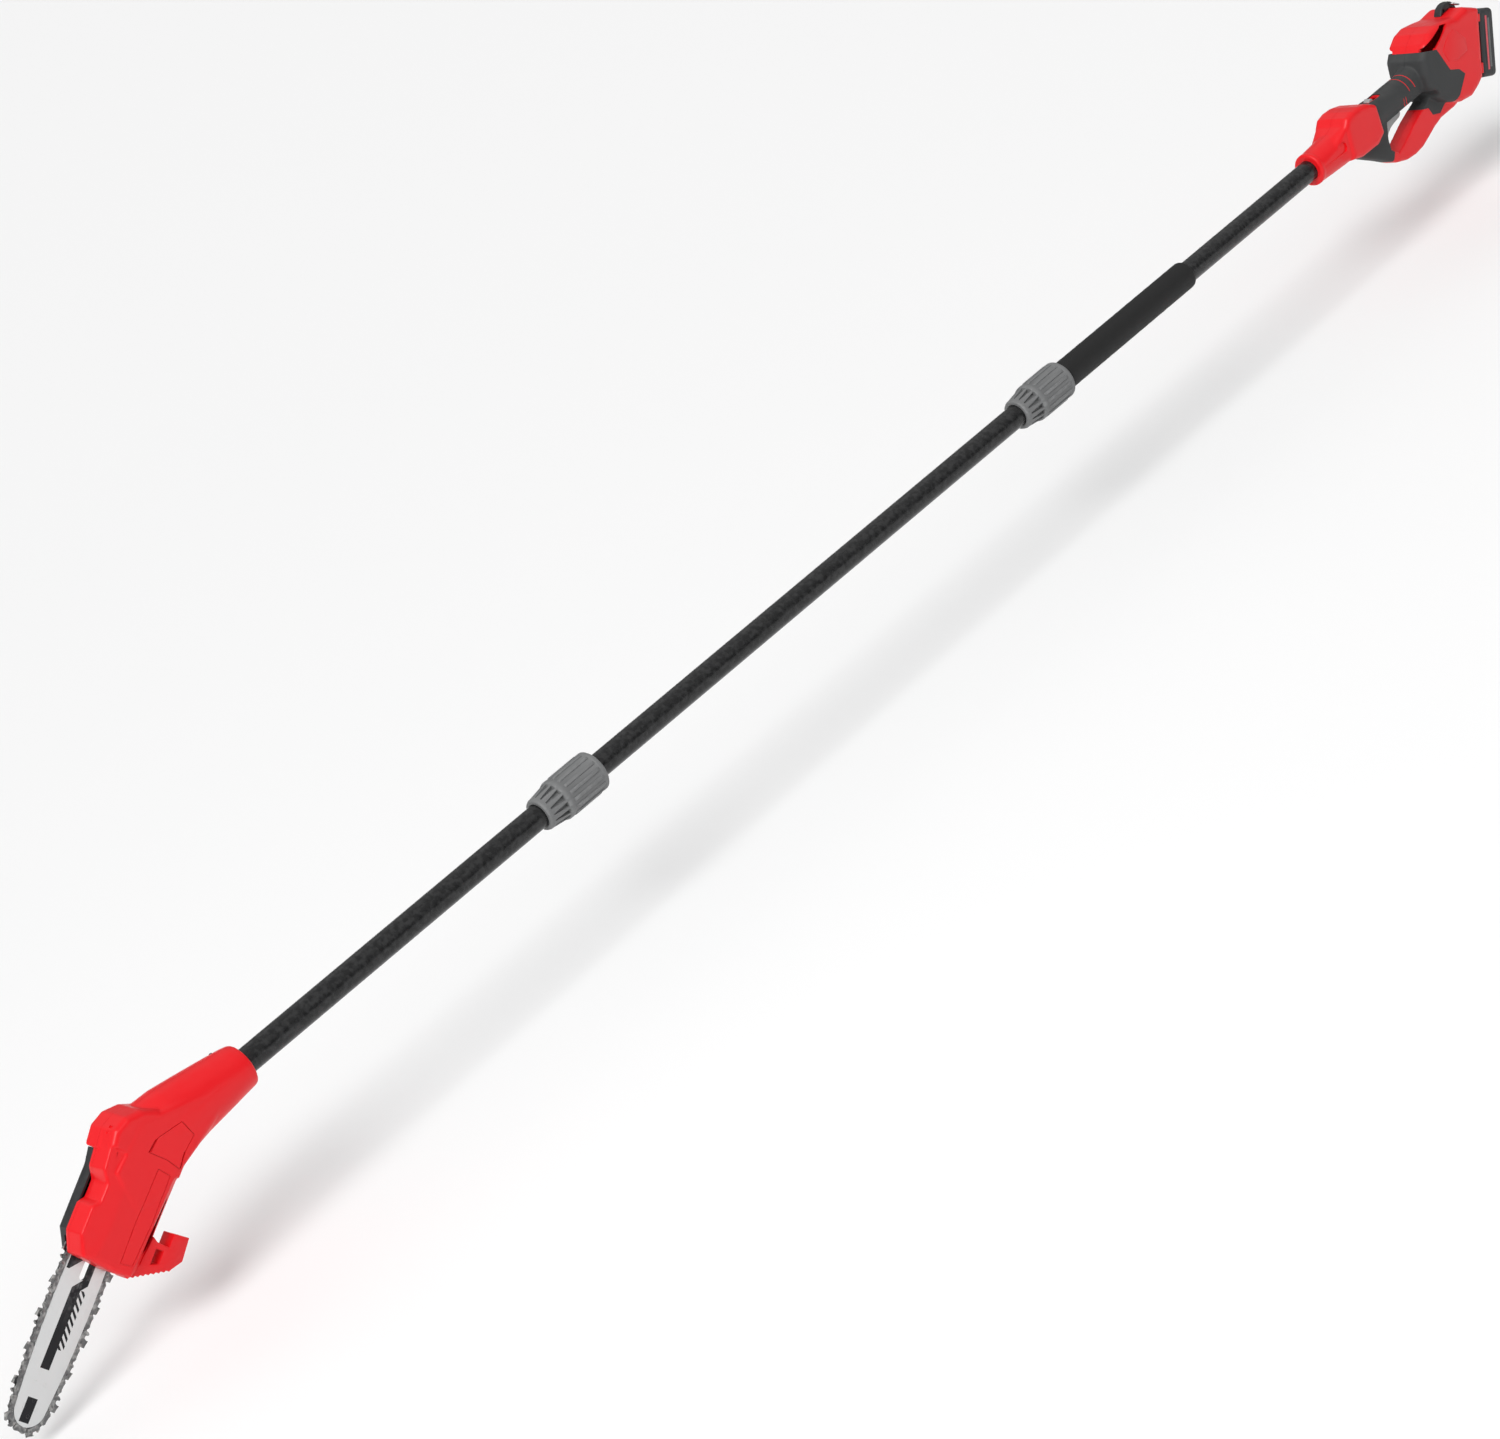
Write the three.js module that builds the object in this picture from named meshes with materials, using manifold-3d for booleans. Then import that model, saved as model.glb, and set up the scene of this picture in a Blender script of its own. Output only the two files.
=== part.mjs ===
// Battery pole saw: a sectional pole with a rear D-handle at one end and a short chain-saw head at the other.
// Millimetres. +Z is up, +X runs along the pole from the saw to the battery, +Y is the user's right.
// The origin is on the pole's axis, at the middle of the rear grip.

import * as THREE from 'three';
import { mergeVertices } from 'three/addons/utils/BufferGeometryUtils.js';
import Module from 'manifold-3d';

const wasm = await Module();
wasm.setup();

// Fits and walls.
const GAP = 0.3; // between pieces that touch
const RUN = 0.6; // between pieces that move past each other
const WALL = 3; // moulded housings
const SKIN = 1.6; // soft overmould on the grip

// Pole.
const TUBE_R = 15.875;
const TUBE_WALL = 1.6;
const NOSE_X = -250; // where the handle pole enters the handle
const HANDLE_POLE_SHOWN = 624;
const EXTENSION_SHOWN = 874;
const HEAD_POLE_SHOWN = 504;
const HANDLE_POLE_IN = 84; // length of pole clamped inside the handle
const HEAD_POLE_IN = 62; // length of pole clamped inside the head
const FOAM_LENGTH = 300;
const FOAM_R = 20.8;
const CABLE_R = 3;

// Screw collar of each pole coupling.
const COLLAR_LENGTH = 100;
const COLLAR_R = 28.3; // over the ribs
const COLLAR_BELL = 36; // conical front part
const COLLAR_RIBS = 16;
const RIB_HEIGHT = 1.6;
const THREAD_R = 21.8;
const RING_LENGTH = 4;
const PLUG_R = 12;
const PLUG_DEPTH = 22; // how far the plug reaches into the socket
const TUBE_SPLIT = 60; // from the collar's front to the end of the tube behind it

// Saw head.
const ELBOW = 164.5; // from the head's mouth to where the bar's axis crosses the pole's
const BAR_ANGLE = 33.5;
const HEAD_LEFT = 30;
const HEAD_RIGHT = 26;
const PLATE_FROM = 2.5; // right shell's flat plate behind the bar
const PLATE_TO = 5.5;
const HEAD_CHAMFER = 7;

// Bar and chain, along the bar from the elbow.
const BAR_Y = 10;
const BAR_THICK = 4;
const BAR_WIDTH = 54.4;
const BAR_TAIL = 66;
const BAR_MIDDLE = 170;
const NOSE_CENTRE = 296.5;
const BAR_NOSE_R = 21;
const SPROCKET_AT = 44;
const SPROCKET_LOOP_R = 19.5;
const CHAIN_HEIGHT = 9;
const CHAIN_THICK = 5;
const STUD_AT = 95;
const STUD_R = 3.9;
const TENSION_Z = 14;
const TENSION_Y = 2.9;
const BLOCK_AT = 82;

// Drive train.
const MOTOR_R = 20;
const MOTOR_LENGTH = 64;
const SHAFT_R = 3;
const AXLE_R = 4;
const BEVEL_MODULE = 1.25;
const BEVEL_PINION_TEETH = 12;
const BEVEL_GEAR_TEETH = 24;
const BEVEL_FACE = 6;
const SPUR_MODULE = 1.25;
const SPUR_PINION_TEETH = 12;
const SPUR_GEAR_TEETH = 44;
const SPUR_WIDTH = 6;

// Handle.
const GRIP_Z = 6;
const GRIP_HALF_Y = 19;
const GRIP_HALF_Z = 21.5;
const SHOULDER_HALF = 31;
const GUARD_HALF = 15;
const REAR_HALF = 37;
const PIN_R = 2.6; // trigger's pivot
const PIN_X = -60;
const PIN_Z = -6.5;

// Battery.
const BATTERY_TILT = 20;
const BATTERY_X = 180;
const BATTERY_Z = -5;
const BATTERY_HALF_Y = 36;
const BATTERY_BOTTOM = -51;
const BATTERY_TOP = 53;
const BATTERY_THICK = 33;
const CELL_R = 9.1;
const CELL_LENGTH = 65;

const FINISHES = {
  red: { color: 0xed1c24, roughness: 0.42, metalness: 0 },
  black_plastic: { color: 0x2b2c2e, roughness: 0.55, metalness: 0 },
  overmould: { color: 0x3c3e3e, roughness: 0.85, metalness: 0 },
  grey_plastic: { color: 0x87888a, roughness: 0.55, metalness: 0 },
  trigger_grey: { color: 0x9a9c9d, roughness: 0.5, metalness: 0 },
  tube: { color: 0x1c1d1f, roughness: 0.3, metalness: 0.2 },
  foam: { color: 0x1d1e1e, roughness: 0.95, metalness: 0 },
  steel: { color: 0xb9bcbe, roughness: 0.35, metalness: 1 },
  dark_steel: { color: 0x77797c, roughness: 0.4, metalness: 1 },
  bar_steel: { color: 0xd5d7d8, roughness: 0.3, metalness: 1 },
  aluminium: { color: 0xa9abad, roughness: 0.5, metalness: 1 },
  copper: { color: 0xb4663a, roughness: 0.45, metalness: 1 },
  cable: { color: 0x161616, roughness: 0.6, metalness: 0 },
  cell_wrap: { color: 0x2f7a8c, roughness: 0.4, metalness: 0 },
};

// ---- Solids -----------------------------------------------------------------------------------------------

const degrees = THREE.MathUtils.degToRad;

function solid(geometry) {
  const bare = geometry.clone();
  bare.deleteAttribute('normal');
  bare.deleteAttribute('uv');
  const merged = mergeVertices(bare, 1e-4);
  const mesh = new wasm.Mesh({
    numProp: 3,
    vertProperties: new Float32Array(merged.attributes.position.array),
    triVerts: new Uint32Array(merged.index.array),
  });
  return new wasm.Manifold(mesh);
}

function geometryOf(shape) {
  const mesh = shape.getMesh();
  const geometry = new THREE.BufferGeometry();
  geometry.setAttribute('position', new THREE.BufferAttribute(new Float32Array(mesh.vertProperties), 3));
  geometry.setIndex(new THREE.BufferAttribute(new Uint32Array(mesh.triVerts), 1));
  geometry.computeVertexNormals();
  return geometry;
}

function joined(shapes) {
  return shapes.reduce((whole, next) => whole.add(next));
}

function box(x0, x1, y0, y1, z0, z1) {
  const geometry = new THREE.BoxGeometry(x1 - x0, y1 - y0, z1 - z0);
  geometry.translate((x0 + x1) / 2, (y0 + y1) / 2, (z0 + z1) / 2);
  return solid(geometry);
}

// A solid of revolution about X through (0, y, z). The profile is a list of [x, radius] from axis to axis.
function turnedX(profile, y = 0, z = 0, sides = 24) {
  const points = profile.map(([x, r]) => new THREE.Vector2(r, x));
  const geometry = new THREE.LatheGeometry(points, sides);
  geometry.rotateZ(-Math.PI / 2);
  geometry.translate(0, y, z);
  return outward(geometry);
}

// The same about Y through (x, 0, z). The profile is a list of [y, radius].
function turnedY(profile, x = 0, z = 0, sides = 24) {
  const points = profile.map(([y, r]) => new THREE.Vector2(r, y));
  const geometry = new THREE.LatheGeometry(points, sides);
  geometry.translate(x, 0, z);
  return outward(geometry);
}

// A lathed or lofted surface whose profile runs the other way is inside out: its triangles are turned round.
function outward(geometry) {
  const shape = solid(geometry);
  if (shape.volume() > 0) {
    return shape;
  }
  const index = geometry.index.array;
  for (let i = 0; i < index.length; i += 3) {
    [index[i], index[i + 1]] = [index[i + 1], index[i]];
  }
  return solid(geometry);
}

function rodX(radius, x0, x1, y = 0, z = 0, sides = 24) {
  return turnedX([[x0, 0], [x0, radius], [x1, radius], [x1, 0]], y, z, sides);
}

function rodY(radius, y0, y1, x = 0, z = 0, sides = 24) {
  return turnedY([[y0, 0], [y0, radius], [y1, radius], [y1, 0]], x, z, sides);
}

// A prism across Y of an outline drawn in X and Z, with its rim chamfered.
function plate(outline, y0, y1, chamfer = 0, holes = []) {
  const shape = new THREE.Shape(outline.map(([x, z]) => new THREE.Vector2(x, z)));
  const geometry = new THREE.ExtrudeGeometry(shape, {
    depth: y1 - y0 - 2 * chamfer,
    bevelEnabled: chamfer > 0,
    bevelThickness: chamfer,
    bevelSize: chamfer,
    bevelOffset: -chamfer,
    bevelSegments: 2,
    curveSegments: 8,
  });
  geometry.rotateX(Math.PI / 2);
  geometry.translate(0, y1 - chamfer, 0);
  return holes.reduce((rest, hole) => rest.subtract(plate(hole, y0 - 1, y1 + 1)), solid(geometry));
}

// A closed skin over rounded sections. Each section is {x, z, halfZ, halfY, power}: power 2 is an ellipse,
// and more is squarer.
function loft(sections, sides = 24) {
  const positions = [];
  const indices = [];
  for (const { x, z, halfZ, halfY, power = 2 } of sections) {
    for (let i = 0; i < sides; i++) {
      const angle = (2 * Math.PI * i) / sides;
      const cos = Math.cos(angle);
      const sin = Math.sin(angle);
      const y = halfY * Math.sign(cos) * Math.abs(cos) ** (2 / power);
      const up = halfZ * Math.sign(sin) * Math.abs(sin) ** (2 / power);
      positions.push(x, y, z + up);
    }
  }
  const last = sections.length - 1;
  const first = positions.length / 3;
  positions.push(sections[0].x, 0, sections[0].z, sections[last].x, 0, sections[last].z);
  for (let i = 0; i < sides; i++) {
    const next = (i + 1) % sides;
    for (let ring = 0; ring < last; ring++) {
      const low = ring * sides;
      const high = low + sides;
      indices.push(low + i, low + next, high + i, low + next, high + next, high + i);
    }
    indices.push(first, next, i, first + 1, last * sides + i, last * sides + next);
  }
  const geometry = new THREE.BufferGeometry();
  geometry.setAttribute('position', new THREE.Float32BufferAttribute(positions, 3));
  geometry.setIndex(indices);
  return outward(geometry);
}

// Sections made smaller all round by d.
function shrunk(sections, d) {
  return sections.map((s) => ({ ...s, halfZ: s.halfZ - d, halfY: s.halfY - d }));
}

// An outline moved inward by d, each corner to where its two moved sides meet.
function inset(outline, d) {
  if (d === 0) {
    return outline;
  }
  const area = THREE.ShapeUtils.area(outline.map(([x, z]) => new THREE.Vector2(x, z)));
  const side = Math.sign(area);
  return outline.map((point, i) => {
    const before = outline[(i + outline.length - 1) % outline.length];
    const after = outline[(i + 1) % outline.length];
    const a = new THREE.Vector2(point[0] - before[0], point[1] - before[1]).normalize();
    const b = new THREE.Vector2(after[0] - point[0], after[1] - point[1]).normalize();
    const normal = new THREE.Vector2(-a.y - b.y, a.x + b.x).normalize();
    const reach = d / Math.max(0.5, normal.dot(new THREE.Vector2(-a.y, a.x)));
    return [point[0] + side * normal.x * reach, point[1] + side * normal.y * reach];
  });
}

// Points of an arc about a centre, in X and Z.
function arc(x, z, radius, from, to, steps) {
  return Array.from({ length: steps + 1 }, (_, i) => {
    const angle = degrees(from + ((to - from) * i) / steps);
    return [x + radius * Math.cos(angle), z + radius * Math.sin(angle)];
  });
}

// Round wire through points, with a ball at each.
function wire(points, radius, sides = 10) {
  const parts = [];
  points.forEach((point, i) => {
    const start = new THREE.Vector3(...point);
    const ball = new THREE.SphereGeometry(radius * 1.06, sides + 3, 7);
    ball.translate(start.x, start.y, start.z);
    parts.push(solid(ball));
    if (i + 1 < points.length) {
      const run = new THREE.Vector3(...points[i + 1]).sub(start);
      const rod = new THREE.CylinderGeometry(radius, radius, run.length(), sides);
      rod.translate(0, run.length() / 2, 0);
      rod.applyQuaternion(new THREE.Quaternion().setFromUnitVectors(new THREE.Vector3(0, 1, 0), run.normalize()));
      rod.translate(start.x, start.y, start.z);
      parts.push(solid(rod));
    }
  });
  return joined(parts);
}

// Toothed disc about Y: plain straight-sided teeth, thinner than the gaps so that a pair runs free.
function gearOutline(teeth, module, x = 0, z = 0, phase = 0, addendum = 0.85, dedendum = 1.15) {
  const pitch = (teeth * module) / 2;
  const levels = [[-0.36, pitch - dedendum * module], [-0.13, pitch + addendum * module]];
  const outline = [];
  for (let i = 0; i < teeth; i++) {
    for (const [share, radius] of [...levels, ...levels.map(([s, r]) => [-s, r]).reverse()]) {
      const angle = (2 * Math.PI * (i + phase + share * 0.8)) / teeth;
      outline.push([x + radius * Math.cos(angle), z + radius * Math.sin(angle)]);
    }
  }
  return outline;
}

const HUGE = 4000;
const leftHalf = () => box(-HUGE, HUGE, -HUGE, -GAP / 2, -HUGE, HUGE);
const rightHalf = () => box(-HUGE, HUGE, GAP / 2, HUGE, -HUGE, HUGE);

// ---- Scene graph ------------------------------------------------------------------------------------------

const saw = new THREE.Group();
saw.name = 'pole_saw';

// Adds a piece, without the slivers that a cut may leave beside it.
function add(group, name, finish, shape) {
  const bodies = shape.simplify(0.03).decompose();
  const body = bodies.reduce((best, next) => (next.volume() > best.volume() ? next : best));
  const mesh = new THREE.Mesh(geometryOf(body), new THREE.MeshStandardMaterial(FINISHES[finish]));
  mesh.name = name;
  group.add(mesh);
}

const REAR_COLLAR_X = NOSE_X - HANDLE_POLE_SHOWN - COLLAR_LENGTH;
const FRONT_COLLAR_X = REAR_COLLAR_X - EXTENSION_SHOWN - COLLAR_LENGTH;
const MOUTH_X = FRONT_COLLAR_X - HEAD_POLE_SHOWN;

const headGroup = new THREE.Group();
headGroup.position.x = MOUTH_X;
saw.add(headGroup);

const barGroup = new THREE.Group();
barGroup.position.x = -ELBOW;
barGroup.rotation.y = -degrees(BAR_ANGLE);
headGroup.add(barGroup);

const batteryGroup = new THREE.Group();
batteryGroup.position.set(BATTERY_X, 0, BATTERY_Z);
batteryGroup.rotation.y = degrees(BATTERY_TILT);
saw.add(batteryGroup);

// Moves a shape built in one group's frame to the frame of that group's parent.
function toParent(shape, group) {
  group.updateMatrix();
  return solid(geometryOf(shape).applyMatrix4(group.matrix));
}

function fromParent(shape, group) {
  group.updateMatrix();
  return solid(geometryOf(shape).applyMatrix4(group.matrix.clone().invert()));
}

// ---- Pole -------------------------------------------------------------------------------------------------

function tube(x0, x1) {
  return rodX(TUBE_R, x0, x1, 0, 0, 40).subtract(rodX(TUBE_R - TUBE_WALL, x0 - 1, x1 + 1));
}

function buildPole() {
  const nodes = [
    ['head_pole', MOUTH_X - HEAD_POLE_IN, FRONT_COLLAR_X + TUBE_SPLIT - PLUG_DEPTH - RING_LENGTH],
    ['extension_pole', FRONT_COLLAR_X + TUBE_SPLIT, REAR_COLLAR_X + TUBE_SPLIT - PLUG_DEPTH - RING_LENGTH],
    ['handle_pole', REAR_COLLAR_X + TUBE_SPLIT, NOSE_X + HANDLE_POLE_IN],
  ];
  for (const [name, x0, x1] of nodes) {
    add(saw, name, 'tube', tube(x0, x1));
  }
}


// One screw coupling. The head-side pole ends in a plug with a flange, the handle-side pole in a threaded
// socket, and the collar, held captive by the flange, screws over the socket.
function buildCoupling(x, plugName, socketName, collarName) {
  const tubeEnd = x + TUBE_SPLIT - PLUG_DEPTH - RING_LENGTH;
  const flangeEnd = tubeEnd + RING_LENGTH;
  const socketFront = flangeEnd + GAP;
  const tubeStart = x + TUBE_SPLIT;
  const rear = x + COLLAR_LENGTH;
  const inTube = TUBE_R - TUBE_WALL - GAP;
  const plug = turnedX([
    [tubeEnd - 26, 0], [tubeEnd - 26, inTube], [tubeEnd + GAP, inTube], [tubeEnd + GAP, 19.5], [flangeEnd, 19.5],
    [flangeEnd, PLUG_R], [tubeStart - 3, PLUG_R], [tubeStart - 1, PLUG_R - 2], [tubeStart - 1, 0],
  ]);
  add(saw, plugName, 'black_plastic', plug.subtract(rodX(CABLE_R + GAP, tubeEnd - 30, tubeStart + 1)));

  const root = THREAD_R - 1.4;
  const thread = [];
  for (let at = socketFront + 6; at < rear - 16; at += 12) {
    thread.push([at, root], [at + 2, THREAD_R], [at + 4, THREAD_R], [at + 6, root]);
  }
  const bodyEnd = rear - 1.5;
  const socket = turnedX([[socketFront, 0], [socketFront, root], ...thread, [bodyEnd, root], [bodyEnd, 0]])
    .subtract(rodX(PLUG_R + GAP, socketFront - 1, tubeStart))
    .subtract(rodX(TUBE_R + GAP, tubeStart - GAP, rear));
  add(saw, socketName, 'black_plastic', socket);

  add(saw, collarName, 'grey_plastic', collarShape(x, flangeEnd));
  const lip = rodX(THREAD_R + RUN + 2, rear - RING_LENGTH + GAP, rear)
    .subtract(rodX(THREAD_R + RUN, rear - RING_LENGTH, rear + 1));
  add(saw, `${collarName}_ring`, 'black_plastic', lip);
}

// The collar: a bell with deep pockets towards the saw, and a ribbed barrel towards the handle.
function collarShape(x, shoulder) {
  const rear = x + COLLAR_LENGTH;
  const base = COLLAR_R - RIB_HEIGHT;
  const bell = x + COLLAR_BELL;
  let collar = turnedX([
    [x, 0], [x, 20.5], [x + 2, 22], [bell - 8, base - 1], [bell, base], [rear - 2, base], [rear, base - 1.5], [rear, 0],
  ], 0, 0, 32);
  for (let i = 0; i < COLLAR_RIBS; i++) {
    const turn = new THREE.Matrix4().makeRotationX((2 * Math.PI * i) / COLLAR_RIBS);
    const rib = new THREE.BoxGeometry(COLLAR_LENGTH - COLLAR_BELL - 6, 4, RIB_HEIGHT + 2);
    rib.translate((bell + rear - 2) / 2, 0, base + RIB_HEIGHT / 2 - 1);
    collar = collar.add(solid(rib.applyMatrix4(turn)));
    if (i % 2 === 0) {
      const pocket = new THREE.BoxGeometry(COLLAR_BELL - 14, 5.5, 6);
      pocket.translate(x + 7 + (COLLAR_BELL - 14) / 2, 0, base - 0.5);
      collar = collar.subtract(solid(pocket.applyMatrix4(turn)));
    }
  }
  return collar
    .subtract(rodX(TUBE_R + RUN, x - 1, rear + 1))
    .subtract(rodX(THREAD_R + RUN, shoulder - RING_LENGTH - GAP, rear + 1, 0, 0, 32))
    .subtract(rodX(THREAD_R + RUN + 2 + GAP, rear - RING_LENGTH, rear + 1, 0, 0, 32));
}

function buildFoamGrip() {
  const rear = REAR_COLLAR_X + COLLAR_LENGTH + 4;
  const foam = turnedX([
    [rear, 0], [rear, FOAM_R - 3], [rear + 3, FOAM_R], [rear + FOAM_LENGTH - 5, FOAM_R],
    [rear + FOAM_LENGTH - 1.5, FOAM_R - 1.5], [rear + FOAM_LENGTH, FOAM_R - 3.5], [rear + FOAM_LENGTH, 0],
  ]);
  add(saw, 'foam_grip', 'foam', foam.subtract(rodX(TUBE_R + GAP, rear - 1, rear + FOAM_LENGTH + 1)));
}

// The lead inside the three poles, plugged together at each coupling.
function buildCables(motorRear) {
  const runs = [
    ['head_cable', MOUTH_X + motorRear + GAP, FRONT_COLLAR_X + TUBE_SPLIT - 2],
    ['extension_cable', FRONT_COLLAR_X + TUBE_SPLIT - 1 + GAP, REAR_COLLAR_X + TUBE_SPLIT - 2],
    ['handle_cable', REAR_COLLAR_X + TUBE_SPLIT - 1 + GAP, NOSE_X + HANDLE_POLE_IN + 10],
  ];
  for (const [name, x0, x1] of runs) {
    add(saw, name, 'cable', rodX(CABLE_R, x0, x1, 0, 0, 12));
  }
}

// ---- Saw head ---------------------------------------------------------------------------------------------

const NECK = [
  { x: 0, z: 0, halfZ: 25.5, halfY: 25.5 },
  { x: -3, z: 0.3, halfZ: 28, halfY: 27.6 },
  { x: -12, z: 1.2, halfZ: 29.6, halfY: 28.6 },
  { x: -42, z: 2.5, halfZ: 33.5, halfY: 30, power: 2.15 },
  { x: -81, z: 4, halfZ: 38.4, halfY: 31, power: 2.3 },
  { x: -111, z: 3.6, halfZ: 43.6, halfY: 31, power: 2.4 },
  { x: -145, z: 1.5, halfZ: 47, halfY: 30, power: 2.5 },
];

// In the bar's frame, where -X points to the bar's tip.
const BODY = [
  [50, -6], [44, -36], [24, -49], [-80, -49], [-112, -44], [-130, -36], [-131, -14], [-127, 33], [-104, 46],
  [-72, 46], [-64, 39], [-44, 39], [-31, 49], [-8, 52], [12, 56], [30, 49], [44, 33], [52, 12],
];
const ELBOW_RIGHT = [
  [50, -6], [44, -36], [24, -49], [-10.6, -49], [-10.6, 53], [12, 56], [30, 49], [44, 33], [52, 12],
];
const HOOK = [
  [-78, -46], [-82, -54], [-83, -71], [-67, -71], [-65, -92], [-92, -95],
];
const HOOK_TOE = [-104, -85];
const HOOK_BASE = [[-130.5, -30], [-112, -42]];
const HOOK_WINDOW = [[-89, -55], [-89, -66], [-104, -66], [-108, -55]];
const COVER = [
  [-11, -47], [-80, -47], [-110, -42], [-127, -34], [-128.5, -14], [-124, 30], [-103, 44], [-30, 44], [-11, 48],
];

// The bumper's spikes along the hook's front edge.
function bumper(from, to, count, depth) {
  const points = [];
  const dx = (to[0] - from[0]) / count;
  const dz = (to[1] - from[1]) / count;
  const length = Math.hypot(dx, dz);
  for (let i = 0; i < count; i++) {
    points.push([from[0] + dx * i, from[1] + dz * i]);
    points.push([from[0] + dx * (i + 0.5) + (dz / length) * -depth, from[1] + dz * (i + 0.5) + (dx / length) * depth]);
  }
  return points;
}

function headSolid(d) {
  const body = plate(inset(BODY, d), -HEAD_LEFT + d, PLATE_TO + HEAD_CHAMFER, HEAD_CHAMFER);
  const elbow = plate(inset(ELBOW_RIGHT, d), -10, HEAD_RIGHT - d, HEAD_CHAMFER);
  return { neck: loft(shrunk(NECK, d)), body: toParent(body, barGroup), elbow: toParent(elbow, barGroup) };
}

// Where the two shafts of the drive train lie, in the head's frame.
const TRAIN = (() => {
  const angle = degrees(BAR_ANGLE);
  const sprocket = { x: -ELBOW - SPROCKET_AT * Math.cos(angle), z: -SPROCKET_AT * Math.sin(angle) };
  const centres = (SPUR_MODULE * (SPUR_PINION_TEETH + SPUR_GEAR_TEETH)) / 2;
  const apex = sprocket.x + Math.sqrt(centres ** 2 - sprocket.z ** 2);
  const bevelReach = (BEVEL_MODULE * BEVEL_GEAR_TEETH) / 2;
  const motorFront = apex + bevelReach + 6;
  return { sprocket, apex, bevelReach, motorFront, motorRear: motorFront + MOTOR_LENGTH };
})();

function buildHeadHousing() {
  const { apex, sprocket, motorFront, motorRear } = TRAIN;
  const outer = headSolid(0);
  const inner = headSolid(WALL);
  const clampEnd = -HEAD_POLE_IN - 6;
  const bore = rodX(TUBE_R + GAP, -HEAD_POLE_IN - GAP, 10).add(rodX(CABLE_R + GAP, clampEnd - 5, 0));
  const behind = box(-HUGE, clampEnd, -HUGE, HUGE, -HUGE, HUGE);
  const ribs = [motorFront + 5, motorRear - 8].map((x) => box(x, x + WALL, -HUGE, HUGE, -60, 60));
  const seats = joined(ribs).subtract(rodX(MOTOR_R + GAP, apex, 0));
  const plateLine = box(-HUGE, HUGE, -HUGE, PLATE_FROM, -HUGE, HUGE);
  const cavity = inner.neck.intersect(behind).add(inner.body.intersect(plateLine)).add(inner.elbow).subtract(seats);

  const hookLine = [...HOOK, ...bumper(HOOK_TOE, HOOK_BASE[0], 9, 2.4), ...HOOK_BASE];
  const hook = toParent(plate(hookLine, -25, -3, 0, [HOOK_WINDOW]), barGroup);
  const posts = [[apex, 0], [sprocket.x, sprocket.z]].map(([x, z]) => rodY(7, -HEAD_LEFT + 1, -19, x, z));
  const postHoles = [[apex, 0], [sprocket.x, sprocket.z]].map(([x, z]) => rodY(AXLE_R + RUN, -HEAD_LEFT + WALL, 0, x, z));
  const slits = [[-6, 6.5], [12.5, -38]].map(([x, z]) => toParent(box(x, x + 17, -60, -20, z - 0.8, z + 0.8), barGroup));
  const left = outer.neck.add(outer.body).intersect(leftHalf()).add(hook)
    .subtract(cavity).subtract(bore).add(joined(posts)).subtract(joined(postHoles)).subtract(joined(slits));
  add(headGroup, 'head_housing_left', 'red', left);

  const pad = toParent(plate(arc(-STUD_AT, 0, 15, 0, 345, 23), PLATE_TO - 1, BAR_Y - BAR_THICK / 2 - GAP), barGroup);
  const lug = toParent(box(-116, -110, GAP / 2, PLATE_TO, TENSION_Z - 5, TENSION_Z + 5), barGroup);
  const pockets = toParent(
    box(-109.9, -73, -9, 9, TENSION_Z - 4, TENSION_Z + 4).add(box(-150, -116.1, -9, 9, TENSION_Z - 4, TENSION_Z + 4)),
    barGroup,
  );
  const screwHole = toParent(rodX(2.4, -140, -75, TENSION_Y, TENSION_Z, 12), barGroup);
  const studHole = toParent(rodY(STUD_R + GAP, -5, 30, -STUD_AT, 0), barGroup);
  const axleHoles = [[apex, 0], [sprocket.x, sprocket.z]].map(([x, z]) => rodY(AXLE_R + RUN, -5, 8, x, z));
  const flat = box(-HUGE, HUGE, -HUGE, PLATE_TO, -HUGE, HUGE);
  const rightSlits = [[-6, 6.5], [12.5, -30]]
    .map(([x, z]) => toParent(box(x, x + 17, 20, 60, z - 0.8, z + 0.8), barGroup));
  const right = outer.neck.add(outer.elbow).add(outer.body.intersect(flat)).intersect(rightHalf())
    .subtract(cavity).add(pad.intersect(rightHalf())).add(lug).subtract(pockets).subtract(screwHole).subtract(bore)
    .subtract(studHole).subtract(joined(axleHoles)).subtract(joined(rightSlits));
  add(headGroup, 'head_housing_right', 'red', right);
}

// Half the width of the line that the chain follows, at x along the bar.
function railHalf(x) {
  const full = BAR_WIDTH / 2;
  const towardNose = -x > BAR_MIDDLE;
  const end = towardNose ? NOSE_CENTRE : SPROCKET_AT;
  const loss = towardNose ? full - BAR_NOSE_R : full - SPROCKET_LOOP_R;
  return full - loss * ((-x - BAR_MIDDLE) / (end - BAR_MIDDLE)) ** 2;
}

// The bar's rail, or a line at a distance outside it, from a tail at x = -from round the nose and back.
function railLine(offset, from, steps = 9) {
  const top = [];
  for (let i = 0; i <= steps; i++) {
    const x = -from - ((NOSE_CENTRE - from) * i) / steps;
    top.push([x, railHalf(x) + offset]);
  }
  const nose = arc(-NOSE_CENTRE, 0, BAR_NOSE_R + offset, 90, 270, 14).slice(1, -1);
  const bottom = top.map(([x, z]) => [x, -z]).reverse();
  return [...top, ...nose, ...bottom];
}

function loopLine(offset) {
  const back = arc(-SPROCKET_AT, 0, SPROCKET_LOOP_R + offset, -90, 90, 12).slice(1, -1);
  return [...railLine(offset, SPROCKET_AT), ...back];
}

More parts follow.
